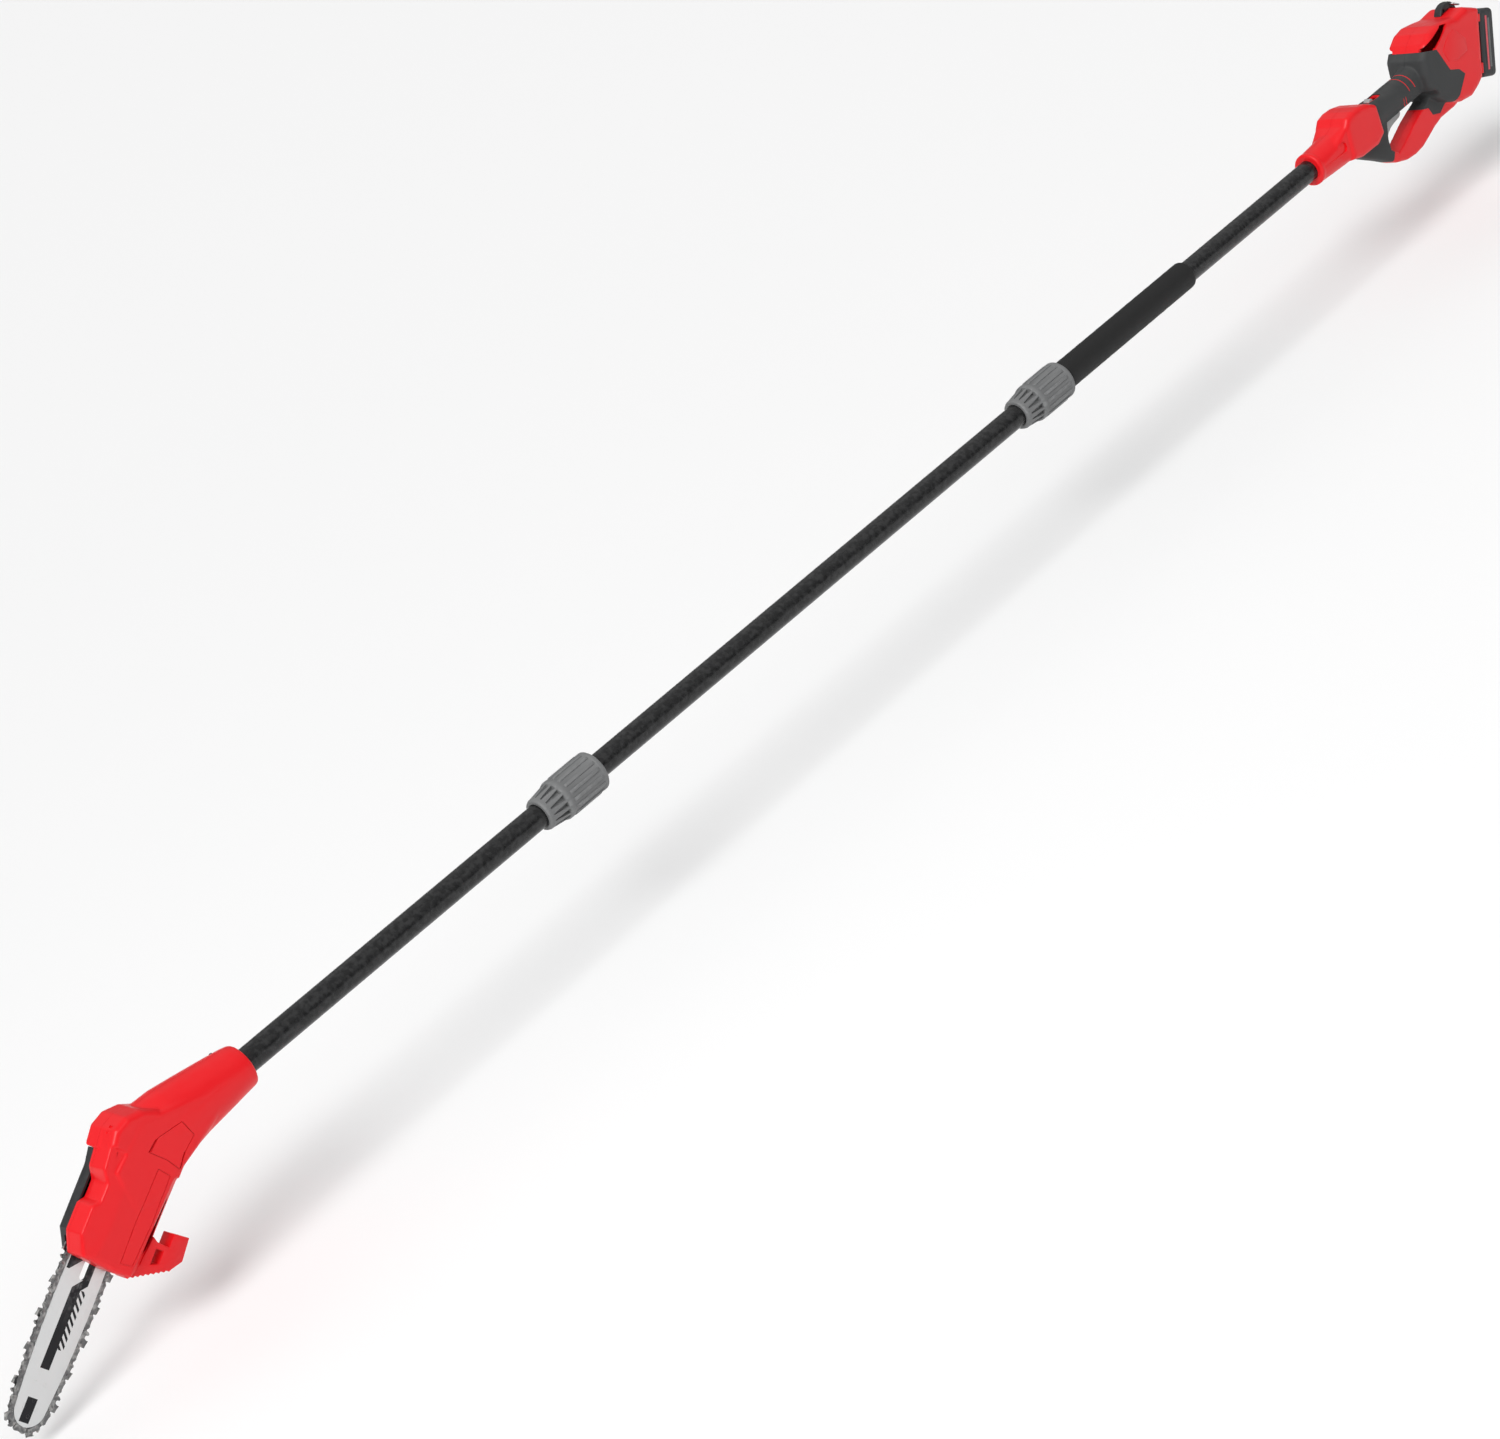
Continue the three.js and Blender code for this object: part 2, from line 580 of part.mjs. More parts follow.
function buildBar() {
  const y0 = BAR_Y - BAR_THICK / 2;
  const y1 = BAR_Y + BAR_THICK / 2;
  const slot = [...arc(-76, 0, STUD_R + RUN, -90, 90, 6), ...arc(-145, 0, STUD_R + RUN, 90, 270, 6)];
  const pinHoles = [TENSION_Z, -TENSION_Z].map((z) => arc(-BLOCK_AT, z, 3.4, 0, 330, 11));
  const blank = plate(railLine(0, BAR_TAIL), y0, y1, 0, [slot, ...pinHoles]);
  const slit = rodY(BAR_NOSE_R + 3, BAR_Y - 0.9, BAR_Y + 0.9, -NOSE_CENTRE, 0).subtract(rodY(4, -50, 50, -NOSE_CENTRE, 0));
  add(barGroup, 'guide_bar', 'bar_steel', blank.subtract(slit));

  const chain = plate(loopLine(CHAIN_HEIGHT + GAP), BAR_Y - CHAIN_THICK / 2, BAR_Y + CHAIN_THICK / 2, 0, [loopLine(GAP)]);
  add(barGroup, 'saw_chain', 'dark_steel', chain);

  const wheel = plate(gearOutline(7, 4.6, -NOSE_CENTRE, 0), BAR_Y - 0.6, BAR_Y + 0.6);
  add(barGroup, 'nose_sprocket', 'steel', wheel.subtract(rodY(4 + GAP, 0, 20, -NOSE_CENTRE, 0)));

  const block = box(-BLOCK_AT - 3.5, -BLOCK_AT + 3.5, TENSION_Y - 2.2, TENSION_Y + 2.2, TENSION_Z - 3.5, TENSION_Z + 3.5)
    .add(rodY(3, TENSION_Y, y1 - 0.4, -BLOCK_AT, TENSION_Z, 16))
    .subtract(rodX(2 + GAP / 2, -100, -60, TENSION_Y, TENSION_Z, 12));
  add(barGroup, 'tension_block', 'steel', block);
  const screw = turnedX([[-126, 0], [-126, 2.7], [-120, 2.7], [-120, 2], [-76, 2], [-76, 0]], TENSION_Y, TENSION_Z, 12)
    .subtract(box(-127, -124.5, -9, 9, TENSION_Z - 0.5, TENSION_Z + 0.5));
  add(barGroup, 'tension_screw', 'steel', screw);

  const stud = turnedY([[-1, 0], [-1, 8], [PLATE_FROM - GAP, 8], [PLATE_FROM - GAP, STUD_R], [26, STUD_R], [26, 0]], -STUD_AT, 0);
  add(barGroup, 'bar_stud', 'steel', stud);
}

function buildCover() {
  const inner = inset(COVER, 2.5);
  const nutSeat = rodY(14, 15, HEAD_RIGHT - 1, -STUD_AT, 0);
  const shell = plate(COVER, -10, HEAD_RIGHT, 6).intersect(box(-HUGE, HUGE, PLATE_TO + GAP, HUGE, -HUGE, HUGE))
    .subtract(plate(inner, -10, HEAD_RIGHT - 2.5, 4).subtract(nutSeat))
    .subtract(box(-150, -106, 0, BAR_Y + 4, -BAR_WIDTH / 2 - 12, BAR_WIDTH / 2 + 12))
    .subtract(rodY(STUD_R + RUN, 0, 40, -STUD_AT, 0))
    .subtract(rodY(11, 18, 40, -STUD_AT, 0));
  add(barGroup, 'sprocket_cover', 'black_plastic', shell);
  const nut = plate(arc(-STUD_AT, 0, 8.6, 0, 300, 5), 18 + GAP, 25.5, 0.8).subtract(rodY(STUD_R + GAP, 0, 40, -STUD_AT, 0, 16));
  add(barGroup, 'cover_nut', 'steel', nut);
}

// A straight bevel gear about Y, its pitch cone's tip at the origin and its large end at y = -depth.
function bevelGear(teeth, depth, hub) {
  const radius = (teeth * BEVEL_MODULE) / 2;
  const slant = Math.hypot(radius, depth);
  const small = 1 - BEVEL_FACE / slant;
  const outline = gearOutline(teeth, BEVEL_MODULE, 0, 0, 0, 0.5, 1.3);
  const geometry = new THREE.ExtrudeGeometry(
    new THREE.Shape(outline.map(([x, z]) => new THREE.Vector2(x, z))),
    { depth: 1, bevelEnabled: false },
  );
  const position = geometry.attributes.position;
  for (let i = 0; i < position.count; i++) {
    const scale = position.getZ(i) > 0.5 ? 1 : small;
    position.setXYZ(i, position.getX(i) * scale, -depth * scale, position.getY(i) * scale);
  }
  const back = rodY((radius - 1.3 * BEVEL_MODULE) * 0.8, -depth - hub, -depth + 0.05, 0, 0, 24);
  return outward(geometry).add(back);
}

function gearAt(teeth, module, y0, y1, x, z, phase) {
  return plate(gearOutline(teeth, module, x, z, phase), y0, y1);
}

function buildDriveTrain() {
  const { apex, sprocket, bevelReach, motorFront, motorRear } = TRAIN;
  const can = turnedX([[motorFront, 0], [motorFront, MOTOR_R], [motorRear - 2, MOTOR_R], [motorRear, MOTOR_R - 2], [motorRear, 0]])
    .subtract(rodX(MOTOR_R - 1.8, motorFront - 1, motorRear - 3))
    .subtract(rodX(SHAFT_R + RUN, motorRear - 5, motorRear + 1));
  add(headGroup, 'motor_can', 'dark_steel', can);
  const core = rodX(MOTOR_R - 5, motorFront + 12, motorRear - 14).subtract(rodX(SHAFT_R + GAP, motorFront, motorRear));
  add(headGroup, 'motor_armature', 'copper', core);
  add(headGroup, 'motor_shaft', 'steel', rodX(SHAFT_R, apex + bevelReach * 0.68, motorRear - 1.5, 0, 0, 16));

  const pinion = bevelGear(BEVEL_PINION_TEETH, bevelReach, 2).subtract(rodY(SHAFT_R + GAP, -40, 0, 0, 0, 16));
  const pinionTurn = new THREE.Matrix4().makeRotationZ(Math.PI / 2).setPosition(apex, 0, 0);
  add(headGroup, 'bevel_pinion', 'steel', solid(geometryOf(pinion).applyMatrix4(pinionTurn)));

  const gearDepth = (BEVEL_MODULE * BEVEL_PINION_TEETH) / 2;
  const gearTurn = new THREE.Matrix4().makeRotationY(Math.PI / BEVEL_GEAR_TEETH).setPosition(apex, 0, 0);
  const gear = bevelGear(BEVEL_GEAR_TEETH, gearDepth, 5).subtract(rodY(AXLE_R + GAP, -40, 0, 0, 0, 16));
  add(headGroup, 'bevel_gear', 'steel', solid(geometryOf(gear).applyMatrix4(gearTurn)));

  const towards = Math.atan2(-sprocket.z, apex - sprocket.x);
  const spurTop = PLATE_FROM - RUN;
  const spurLow = spurTop - SPUR_WIDTH + 1;
  const pinionPhase = ((towards + Math.PI) * SPUR_PINION_TEETH) / (2 * Math.PI);
  const gearPhase = (towards * SPUR_GEAR_TEETH) / (2 * Math.PI) + 0.5;
  const jackshaft = rodY(AXLE_R, -21, PLATE_TO - GAP, apex, 0, 18)
    .add(gearAt(SPUR_PINION_TEETH, SPUR_MODULE, spurLow, spurTop, apex, 0, pinionPhase));
  add(headGroup, 'jackshaft', 'steel', jackshaft);
  const spur = gearAt(SPUR_GEAR_TEETH, SPUR_MODULE, spurLow, spurTop, sprocket.x, sprocket.z, gearPhase)
    .subtract(rodY(AXLE_R + GAP, -10, 10, sprocket.x, sprocket.z, 18));
  add(headGroup, 'spur_gear', 'steel', spur);
  add(headGroup, 'sprocket_shaft', 'steel', rodY(AXLE_R, -21, 17, sprocket.x, sprocket.z, 18));

  const star = Array.from({ length: 36 }, (_, i) => {
    const angle = (2 * Math.PI * i) / 36;
    const radius = 15.6 + 2.6 * Math.cos(6 * angle);
    return [-SPROCKET_AT + radius * Math.cos(angle), radius * Math.sin(angle)];
  });
  const drive = plate(star, BAR_Y - 3, BAR_Y + 3).subtract(rodY(AXLE_R + GAP, 0, 20, -SPROCKET_AT, 0, 18));
  add(barGroup, 'drive_sprocket', 'steel', drive);

  const cheekLine = [
    [motorFront - 0.5, 12], [apex - 8, 12], [sprocket.x - 8, sprocket.z + 6], [sprocket.x - 6, sprocket.z - 9],
    [sprocket.x + 8, sprocket.z - 8], [motorFront - 0.5, -12],
  ];
  const cheek = plate(cheekLine, -18.6, -15.6);
  const web = rodX(19, motorFront - 3.5, motorFront - 0.5).add(box(motorFront - 3.5, motorFront - 0.5, -18.6, 0, -12, 12));
  const bracket = cheek.add(web)
    .subtract(rodX(SHAFT_R + RUN, motorFront - 9, motorFront + 3))
    .subtract(rodY(AXLE_R + RUN, -30, 0, apex, 0))
    .subtract(rodY(AXLE_R + RUN, -30, 0, sprocket.x, sprocket.z));
  add(headGroup, 'gear_bracket', 'aluminium', bracket);
}

// ---- Handle -----------------------------------------------------------------------------------------------

const NOSE = [
  { x: NOSE_X, z: 0, halfZ: 22.5, halfY: 22.5 },
  { x: NOSE_X + 2, z: 0, halfZ: 24.8, halfY: 24.8 },
  { x: NOSE_X + 35, z: 0, halfZ: 26, halfY: 25.6, power: 2.15 },
  { x: NOSE_X + 70, z: 0.5, halfZ: 27.5, halfY: 26.8, power: 2.3 },
  { x: NOSE_X + 100, z: 2, halfZ: 29.5, halfY: 28.5, power: 2.5 },
  { x: NOSE_X + 135, z: 4, halfZ: 29, halfY: 28, power: 2.5 },
];
const GRIP = [
  { x: -112, z: 3, halfZ: 26, halfY: 25, power: 2.5 },
  { x: -86, z: GRIP_Z - 1, halfZ: GRIP_HALF_Z + 2.5, halfY: GRIP_HALF_Y + 2.5, power: 2.4 },
  { x: -62, z: GRIP_Z, halfZ: GRIP_HALF_Z, halfY: GRIP_HALF_Y, power: 2.3 },
  { x: 8, z: GRIP_Z, halfZ: GRIP_HALF_Z, halfY: GRIP_HALF_Y, power: 2.3 },
  { x: 32, z: GRIP_Z + 1, halfZ: GRIP_HALF_Z + 2, halfY: GRIP_HALF_Y + 2.5, power: 2.4 },
  { x: 52, z: GRIP_Z + 4, halfZ: GRIP_HALF_Z + 9, halfY: GRIP_HALF_Y + 11, power: 2.6 },
  { x: 74, z: GRIP_Z + 4, halfZ: GRIP_HALF_Z + 12, halfY: GRIP_HALF_Y + 15, power: 2.6 },
];
const SHOULDER = [
  [-181, -20], [-177, 30], [-166, 42], [-150, 45], [-132, 44], [-112, 39], [-92, 28], [-92, -18], [-112, -28],
  [-155, -27],
];
const GUARD = [
  [-168, -10], [-158, -25], [-97, -61], [-65, -81], [-40, -89], [-17, -91], [3, -89], [22, -83], [42, -76],
  [64, -71], [104, -71], [126, -67], [146, -58], [150, -20], [110, 10], [-60, 10],
];
const WINDOW = [
  [-64, -15], [-72, -38], [-73, -56], [-58, -69], [-37, -62], [-1, -46], [20, -39], [44, -32], [50, -24], [44, -14.5],
];
const REAR = [
  [34, -8], [30, 14], [33, 38], [50, 57], [67, 67], [88, 70], [112, 66], [136, 61], [168, 63], [199.4, 47.2],
  [162.5, -52], [146, -60], [126, -66], [98, -62], [66, -46], [46, -28],
];
const OVERMOULD = [
  [-122, 70], [-94, 31], [-94, -15], [-104, -27], [-175, -27], [-175, -75], [-86, -100], [-76, -76], [-62, -55],
  [0, -30], [38, -42], [44, -56], [62, -62], [92, -48], [119, -25], [108, -12], [87, -3], [69, 39], [49, 46],
  [26, 52], [10, 75],
];

function handleSolid(d) {
  const guard = plate(inset(GUARD, d), -GUARD_HALF + d, GUARD_HALF - d, 5);
  return handleCore(d).add(guard).subtract(plate(inset(WINDOW, -d), -60, 60));
}

function handleCore(d) {
  return joined([
    loft(shrunk(NOSE, d)),
    loft(shrunk(GRIP, d)),
    plate(inset(SHOULDER, d), -SHOULDER_HALF + d, SHOULDER_HALF - d, 8),
    plate(inset(REAR, d), -REAR_HALF + d, REAR_HALF - d, 10),
  ]);
}

function buildHandle() {
  const outer = handleSolid(0);
  const under = handleSolid(SKIN + GAP);
  const zone = plate(OVERMOULD, -60, 60);
  const zoneInside = plate(inset(OVERMOULD, GAP), -60, 60);
  const lockPort = box(-86, -53, -9, 9, 14, 60);
  const pinSeat = rodY(PIN_R + RUN, -9.4, 9.4, PIN_X, PIN_Z, 14);
  const triggerPort = box(-67, -13, -6.2, 6.2, -40, -6).add(pinSeat);
  const skin = outer.subtract(handleSolid(SKIN)).intersect(zoneInside).subtract(lockPort).subtract(triggerPort);
  add(saw, 'grip_overmould_left', 'overmould', skin.intersect(leftHalf()));
  add(saw, 'grip_overmould_right', 'overmould', skin.intersect(rightHalf()));

  const shellOuter = outer.subtract(zone).add(under.intersect(zone));
  const clampEnd = NOSE_X + HANDLE_POLE_IN + 4;
  const zoneOutside = plate(inset(OVERMOULD, -WALL), -60, 60);
  const hollow = handleCore(WALL).subtract(zoneOutside).add(handleCore(WALL + SKIN + GAP))
    .intersect(box(clampEnd, HUGE, -HUGE, HUGE, -HUGE, HUGE));
  const bulkheads = joined([[-62.6, -60.3], [-19.7, -17.4]].map(([x0, x1]) => box(x0, x1, -30, 30, 2, 40)));
  const bore = rodX(TUBE_R + GAP, NOSE_X - 5, NOSE_X + HANDLE_POLE_IN + GAP).add(rodX(CABLE_R + GAP, NOSE_X, clampEnd + 1));
  const lockSlot = box(-81, -57, -6, 6, 14, 60);
  const dock = fromBattery(box(-8, 20, -30, 30, BATTERY_BOTTOM + 6, 90)
    .add(box(-14, -7, -10 - GAP, 10 + GAP, BATTERY_BOTTOM + 14 - GAP, BATTERY_BOTTOM + 32 + GAP)));
  const shell = shellOuter.subtract(hollow.subtract(bulkheads).subtract(fromBattery(box(-11, 0, -33, 33, -60, 90))))
    .subtract(bore).subtract(lockSlot).subtract(triggerPort).subtract(dock);
  add(saw, 'handle_shell_left', 'red', shell.intersect(leftHalf()));
  add(saw, 'handle_shell_right', 'red', shell.intersect(rightHalf()));
}

// The battery's frame leans back, with X out of the dock and Z up the slide.
function fromBattery(shape) {
  return toParent(shape, batteryGroup);
}

function buildControls() {
  const lever = plate([
    [-64, -4], [-64, -18], [-66, -35], [-63, -42], [-58, -38], [-49, -32.5], [-38, -29.5], [-22, -27], [-17, -23],
    [-15, -14], [-15, -6],
  ], -5.6, 5.6, 1.4).add(rodY(PIN_R, -8.8, 8.8, PIN_X, PIN_Z, 14));
  add(saw, 'trigger', 'trigger_grey', lever);
  const switchBox = box(-60, -20, -9, 9, 4.6, 18).add(box(-36, -24, -4, 4, 3, 5));
  add(saw, 'trigger_switch', 'black_plastic', switchBox);
  add(saw, 'trigger_spring', 'steel', spring(-45, 0, -4.3, 4.3, 3, 0.5, 4));
  const button = box(-80.4, -68, -5.4, 5.4, 17, 29.5).add(box(-78, -64, -4, 4, 14.5, 18));
  add(saw, 'lockoff_button', 'trigger_grey', button);
}

// A compression spring standing on Z at (x, y).
function spring(x, y, z0, z1, radius, wireR, turns) {
  class Helix extends THREE.Curve {
    getPoint(t, target = new THREE.Vector3()) {
      const angle = 2 * Math.PI * turns * t;
      return target.set(
        x + radius * Math.cos(angle),
        y + radius * Math.sin(angle),
        z0 + wireR + (z1 - z0 - 2 * wireR) * t,
      );
    }
  }
  const section = new THREE.Shape(arc(0, 0, wireR, 0, 300, 5).map(([u, v]) => new THREE.Vector2(u, v)));
  const geometry = new THREE.ExtrudeGeometry(section, {
    steps: turns * 10,
    extrudePath: new Helix(),
    bevelEnabled: false,
  });
  return outward(mergeVertices(new THREE.BufferGeometry().copy(geometry).deleteAttribute('normal').deleteAttribute('uv'), 1e-4));
}

function buildStrapPoint() {
  const line = [[140, 61.8], [146, 70], [156, 74], [170, 73.5], [178, 67], [182, 56.8], [168, 63.9]];
  const pivot = [171, 68.6];
  const bracket = plate(line, -7, 7, 1.5).subtract(rodY(2.1, -30, 30, pivot[0], pivot[1], 12));
  add(saw, 'hang_bracket', 'black_plastic', bracket);
  const tip = [191, 58.5];
  const ring = wire([[pivot[0], -11.5, pivot[1]], [pivot[0], 11.5, pivot[1]], [tip[0], 7, tip[1]], [tip[0], -7, tip[1]],
    [pivot[0], -11.5, pivot[1]]], 1.5, 8);
  add(saw, 'strap_ring', 'steel', ring);
}

// ---- Battery ----------------------------------------------------------------------------------------------

function buildBattery() {
  const split = 22;
  const front = RUN;
  const rear = BATTERY_THICK;
  const line = (y, z) => [[-y, BATTERY_BOTTOM + z], [-y, BATTERY_TOP - z], [y, BATTERY_TOP - z], [y, BATTERY_BOTTOM + z]];
  const pack = (x0, x1, d, rim) => {
    const shape = new THREE.Shape(line(BATTERY_HALF_Y - d, d).map(([y, z]) => new THREE.Vector2(y, z)));
    const geometry = new THREE.ExtrudeGeometry(shape, {
      depth: x1 - x0 - 2 * rim,
      bevelEnabled: true,
      bevelThickness: rim,
      bevelSize: rim,
      bevelOffset: -rim,
      bevelSegments: 2,
    });
    geometry.rotateZ(Math.PI / 2).rotateY(Math.PI / 2).translate(x0 + rim, 0, 0);
    return solid(geometry);
  };
  const whole = pack(front, rear, 0, 3);
  const hollow = pack(front + WALL, rear - WALL, WALL, 0.5);
  const tongue = box(-6.5, front + 2, -26, 26, BATTERY_BOTTOM + 10, BATTERY_TOP - 6)
    .subtract(box(-7, -1.5, -15, 15, BATTERY_BOTTOM + 9, BATTERY_BOTTOM + 40));
  const latchPort = box(rear - 7.5, rear + 9, -15, 15, 34, 48);
  const caseShape = whole.intersect(box(-50, split, -99, 99, -99, 99)).add(tongue).subtract(hollow);
  add(batteryGroup, 'battery_case', 'black_plastic', caseShape);
  const lid = whole.intersect(box(split + GAP, 99, -99, 99, -99, 99)).subtract(hollow)
    .add(box(rear - 8.5, rear - 2, -17, 17, 32, 50)).subtract(latchPort);
  add(batteryGroup, 'battery_lid', 'black_plastic', lid);
  add(batteryGroup, 'battery_latch', 'overmould', box(rear - 4, rear + 1, -14.5, 14.5, 34.5, 47.5));
  for (let i = 0; i < 5; i++) {
    const z = BATTERY_BOTTOM + WALL + CELL_R + GAP + i * (2 * CELL_R + GAP);
    const cell = rodY(CELL_R, -CELL_LENGTH / 2, CELL_LENGTH / 2, front + WALL + CELL_R + GAP, z, 18);
    add(batteryGroup, `battery_cell_${i + 1}`, 'cell_wrap', cell);
  }
  const block = box(-7.6, -2.4, -12, 12, BATTERY_BOTTOM + 12, BATTERY_BOTTOM + 34)
    .add(box(-12.5, -7, -10, 10, BATTERY_BOTTOM + 14, BATTERY_BOTTOM + 32));
  add(batteryGroup, 'terminal_block', 'black_plastic', block);
}

buildPole();
buildCoupling(FRONT_COLLAR_X, 'head_plug', 'extension_socket', 'front_collar');
buildCoupling(REAR_COLLAR_X, 'extension_plug', 'handle_socket', 'rear_collar');
buildFoamGrip();
buildCables(TRAIN.motorRear);
buildHeadHousing();
buildBar();
buildCover();
buildDriveTrain();
buildHandle();
buildControls();
buildStrapPoint();
buildBattery();

export default saw;
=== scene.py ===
"""Looks of a battery pole saw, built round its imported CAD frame.

Lengths in the shape data are millimetres in the frame of the row: +X runs along the pole from the saw to the
battery, +Y is the user's right and +Z is up. Finished meshes are in metres.
"""

import math

import bmesh
import bpy
from bpy.props import FloatProperty, FloatVectorProperty, IntProperty, PointerProperty
from mathutils import Matrix, Vector


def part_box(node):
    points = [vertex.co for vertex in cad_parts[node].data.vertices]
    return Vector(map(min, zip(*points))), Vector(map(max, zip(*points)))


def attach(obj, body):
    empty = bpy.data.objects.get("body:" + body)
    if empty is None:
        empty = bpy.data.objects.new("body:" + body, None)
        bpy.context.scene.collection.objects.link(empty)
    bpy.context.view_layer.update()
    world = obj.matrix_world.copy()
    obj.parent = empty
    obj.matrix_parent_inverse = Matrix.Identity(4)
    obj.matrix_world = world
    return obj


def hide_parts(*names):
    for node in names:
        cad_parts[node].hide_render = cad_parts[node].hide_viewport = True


bl_info = {
    "name": "Battery Pole Saw",
    "version": (1, 0, 0),
    "blender": (4, 5, 0),
    "location": "3D View > Sidebar > Pole Saw",
    "description": "Builds the looks of a sectional battery pole saw",
    "category": "Object",
}

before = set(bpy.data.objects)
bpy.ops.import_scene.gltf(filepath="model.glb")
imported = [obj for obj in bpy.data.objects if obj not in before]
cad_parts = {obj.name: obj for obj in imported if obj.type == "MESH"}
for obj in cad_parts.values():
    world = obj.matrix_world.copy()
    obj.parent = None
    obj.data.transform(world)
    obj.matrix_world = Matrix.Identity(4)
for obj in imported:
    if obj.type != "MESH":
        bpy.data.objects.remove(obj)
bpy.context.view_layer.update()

MM = 0.001
FAR = 900.0  # reaches past a whole group of pieces in a cut
PAST = 60  # reaches past the sides of the handle or the head in a cut
SEAM = 0.15  # half the open line between two mouldings
FIT = 0.3  # clearance between a piece and what it sits in
WELD = 1e-7
CREASE = 32  # degrees between faces from which an edge is shaded sharp


def cad_span(node, axis):
    """Lowest and highest coordinate of a CAD node along an axis, in millimetres."""
    low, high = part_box(node)
    return low[axis] / MM, high[axis] / MM


TUBE_R = round(cad_span("extension_pole", 2)[1], 3)
REAR_COLLAR_X = cad_span("rear_collar", 0)[0]
FRONT_COLLAR_X = cad_span("front_collar", 0)[0]
TUBE_IN_HEAD = 62
TUBE_IN_HANDLE = 84
MOUTH_X = cad_span("head_pole", 0)[0] + TUBE_IN_HEAD
NOSE_X = cad_span("handle_pole", 0)[1] - TUBE_IN_HANDLE
LEAD_R = 3.3  # bore for the lead inside the pole

ELBOW = 164.5
BAR_ANGLE = math.radians(33.5)
BATTERY_AT = (180, 0, -5)
BATTERY_ANGLE = math.radians(20)
MELT_STEPS = 6  # smoothing steps that soften a fused moulding
TO_HEAD = Matrix.Translation((MOUTH_X, 0, 0))
TO_BAR = Matrix.Translation((MOUTH_X - ELBOW, 0, 0)) @ Matrix.Rotation(-BAR_ANGLE, 4, "Y")
TO_BATTERY = Matrix.Translation(BATTERY_AT) @ Matrix.Rotation(BATTERY_ANGLE, 4, "Y")
BAR_Y = 10.0


# ---- Settings ---------------------------------------------------------------------------------------------


def colour(label, value, what):
    return FloatVectorProperty(
        name=label, description=what, default=value, subtype="COLOR", size=3, min=0, max=1
    )


def length(label, value, what, low=0.0):
    return FloatProperty(name=label, description=what, default=value * MM, min=low, unit="LENGTH")


class PoleSawColours(bpy.types.PropertyGroup):
    """Colours of the pole saw's finishes"""

    red: colour("Red housing", (0.8, 0.008, 0.013), "Moulded housings of the head and the handle")
    overmould: colour("Overmould", (0.043, 0.045, 0.046), "Soft grip on the handle")
    black: colour("Black plastic", (0.018, 0.019, 0.021), "Cover, battery and couplings")
    collar: colour("Collar grey", (0.17, 0.173, 0.175), "Ribbed screw collars")
    pale: colour("Pale grey", (0.36, 0.37, 0.37), "Trigger and lock-off button")
    tube: colour("Tube", (0.007, 0.0072, 0.0076), "Coated pole tubes")
    foam: colour("Foam", (0.007, 0.007, 0.0072), "Foregrip")
    bar: colour("Bar", (0.66, 0.67, 0.67), "Ground steel of the guide bar")
    floor: colour("Floor", (0.93, 0.93, 0.93), "Floor and backdrop")


class PoleSawSizes(bpy.types.PropertyGroup):
    """Sizes of the pole saw's details"""

    tube_wall: length("Tube wall", 1.6, "Wall of the pole tubes")
    skin_grain: length("Moulding resolution", 1.35, "Grid that the mouldings are fused on", 0.0005)
    rib_height: length("Collar rib height", 1.6, "How far the collar's ribs stand out")
    rib_count: IntProperty(name="Collar ribs", description="Ribs round each collar", default=16, min=3)
    chain_links: IntProperty(
        name="Chain links", description="Drive links and ties round the bar", default=70, min=8
    )
    screw_radius: length("Screw head radius", 3.6, "Radius of the housing screws' heads")


# ---- Meshes -----------------------------------------------------------------------------------------------


def placed(name, data):
    """A new object in the scene that holds this data."""
    made = bpy.data.objects.new(name, data)
    bpy.context.scene.collection.objects.link(made)
    return made


def face_outward(mesh, weld=0.0):
    """Turns all faces outward, once points closer than the weld distance are joined."""
    work = bmesh.new()
    work.from_mesh(mesh)
    if weld:
        bmesh.ops.remove_doubles(work, verts=work.verts, dist=weld)
    bmesh.ops.recalc_face_normals(work, faces=work.faces)
    work.to_mesh(mesh)
    work.free()


def mesh_object(name, points, faces, place=None):
    """A closed mesh from points in millimetres, in the frame that place turns into the row's."""
    mesh = bpy.data.meshes.new(name)
    place = place or Matrix.Identity(4)
    mesh.from_pydata([(place @ Vector(p)) * MM for p in points], [], faces)
    face_outward(mesh, WELD)
    return placed(name, mesh)


def skin(rings, closed=False):
    """Faces over rings of points that all hold the same number, with a cap at each end unless closed."""
    count = len(rings[0])
    points = [p for ring in rings for p in ring]
    faces = []
    last = len(rings) - (0 if closed else 1)
    for r in range(last):
        low, high = r * count, (r + 1) % len(rings) * count
        for i in range(count):
            j = (i + 1) % count
            faces.append((low + i, low + j, high + j, high + i))
    if not closed:
        faces.append(tuple(reversed(range(count))))
        faces.append(tuple(range((len(rings) - 1) * count, len(rings) * count)))
    return points, faces


def ring_x(x, radius, sides, y=0.0, z=0.0):
    return [
        (x, y + radius * math.cos(a), z + radius * math.sin(a))
        for a in (2 * math.pi * i / sides for i in range(sides))
    ]


def ring_y(y, radius, sides, x=0.0, z=0.0):
    return [
        (x + radius * math.cos(a), y, z + radius * math.sin(a))
        for a in (2 * math.pi * i / sides for i in range(sides))
    ]


def turned_x(name, profile, closed=False, y=0.0, z=0.0, sides=72, place=None):
    """A solid of revolution about X. The profile is a list of (x, radius), a loop if closed."""
    rings = [ring_x(x, r, sides, y, z) for x, r in profile]
    return mesh_object(name, *skin(rings, closed), place)


def turned_y(name, profile, x=0.0, z=0.0, closed=False, sides=48, place=None):
    """A solid of revolution about Y. The profile is a list of (y, radius), a loop if closed."""
    rings = [ring_y(y, r, sides, x, z) for y, r in profile]
    return mesh_object(name, *skin(rings, closed), place)


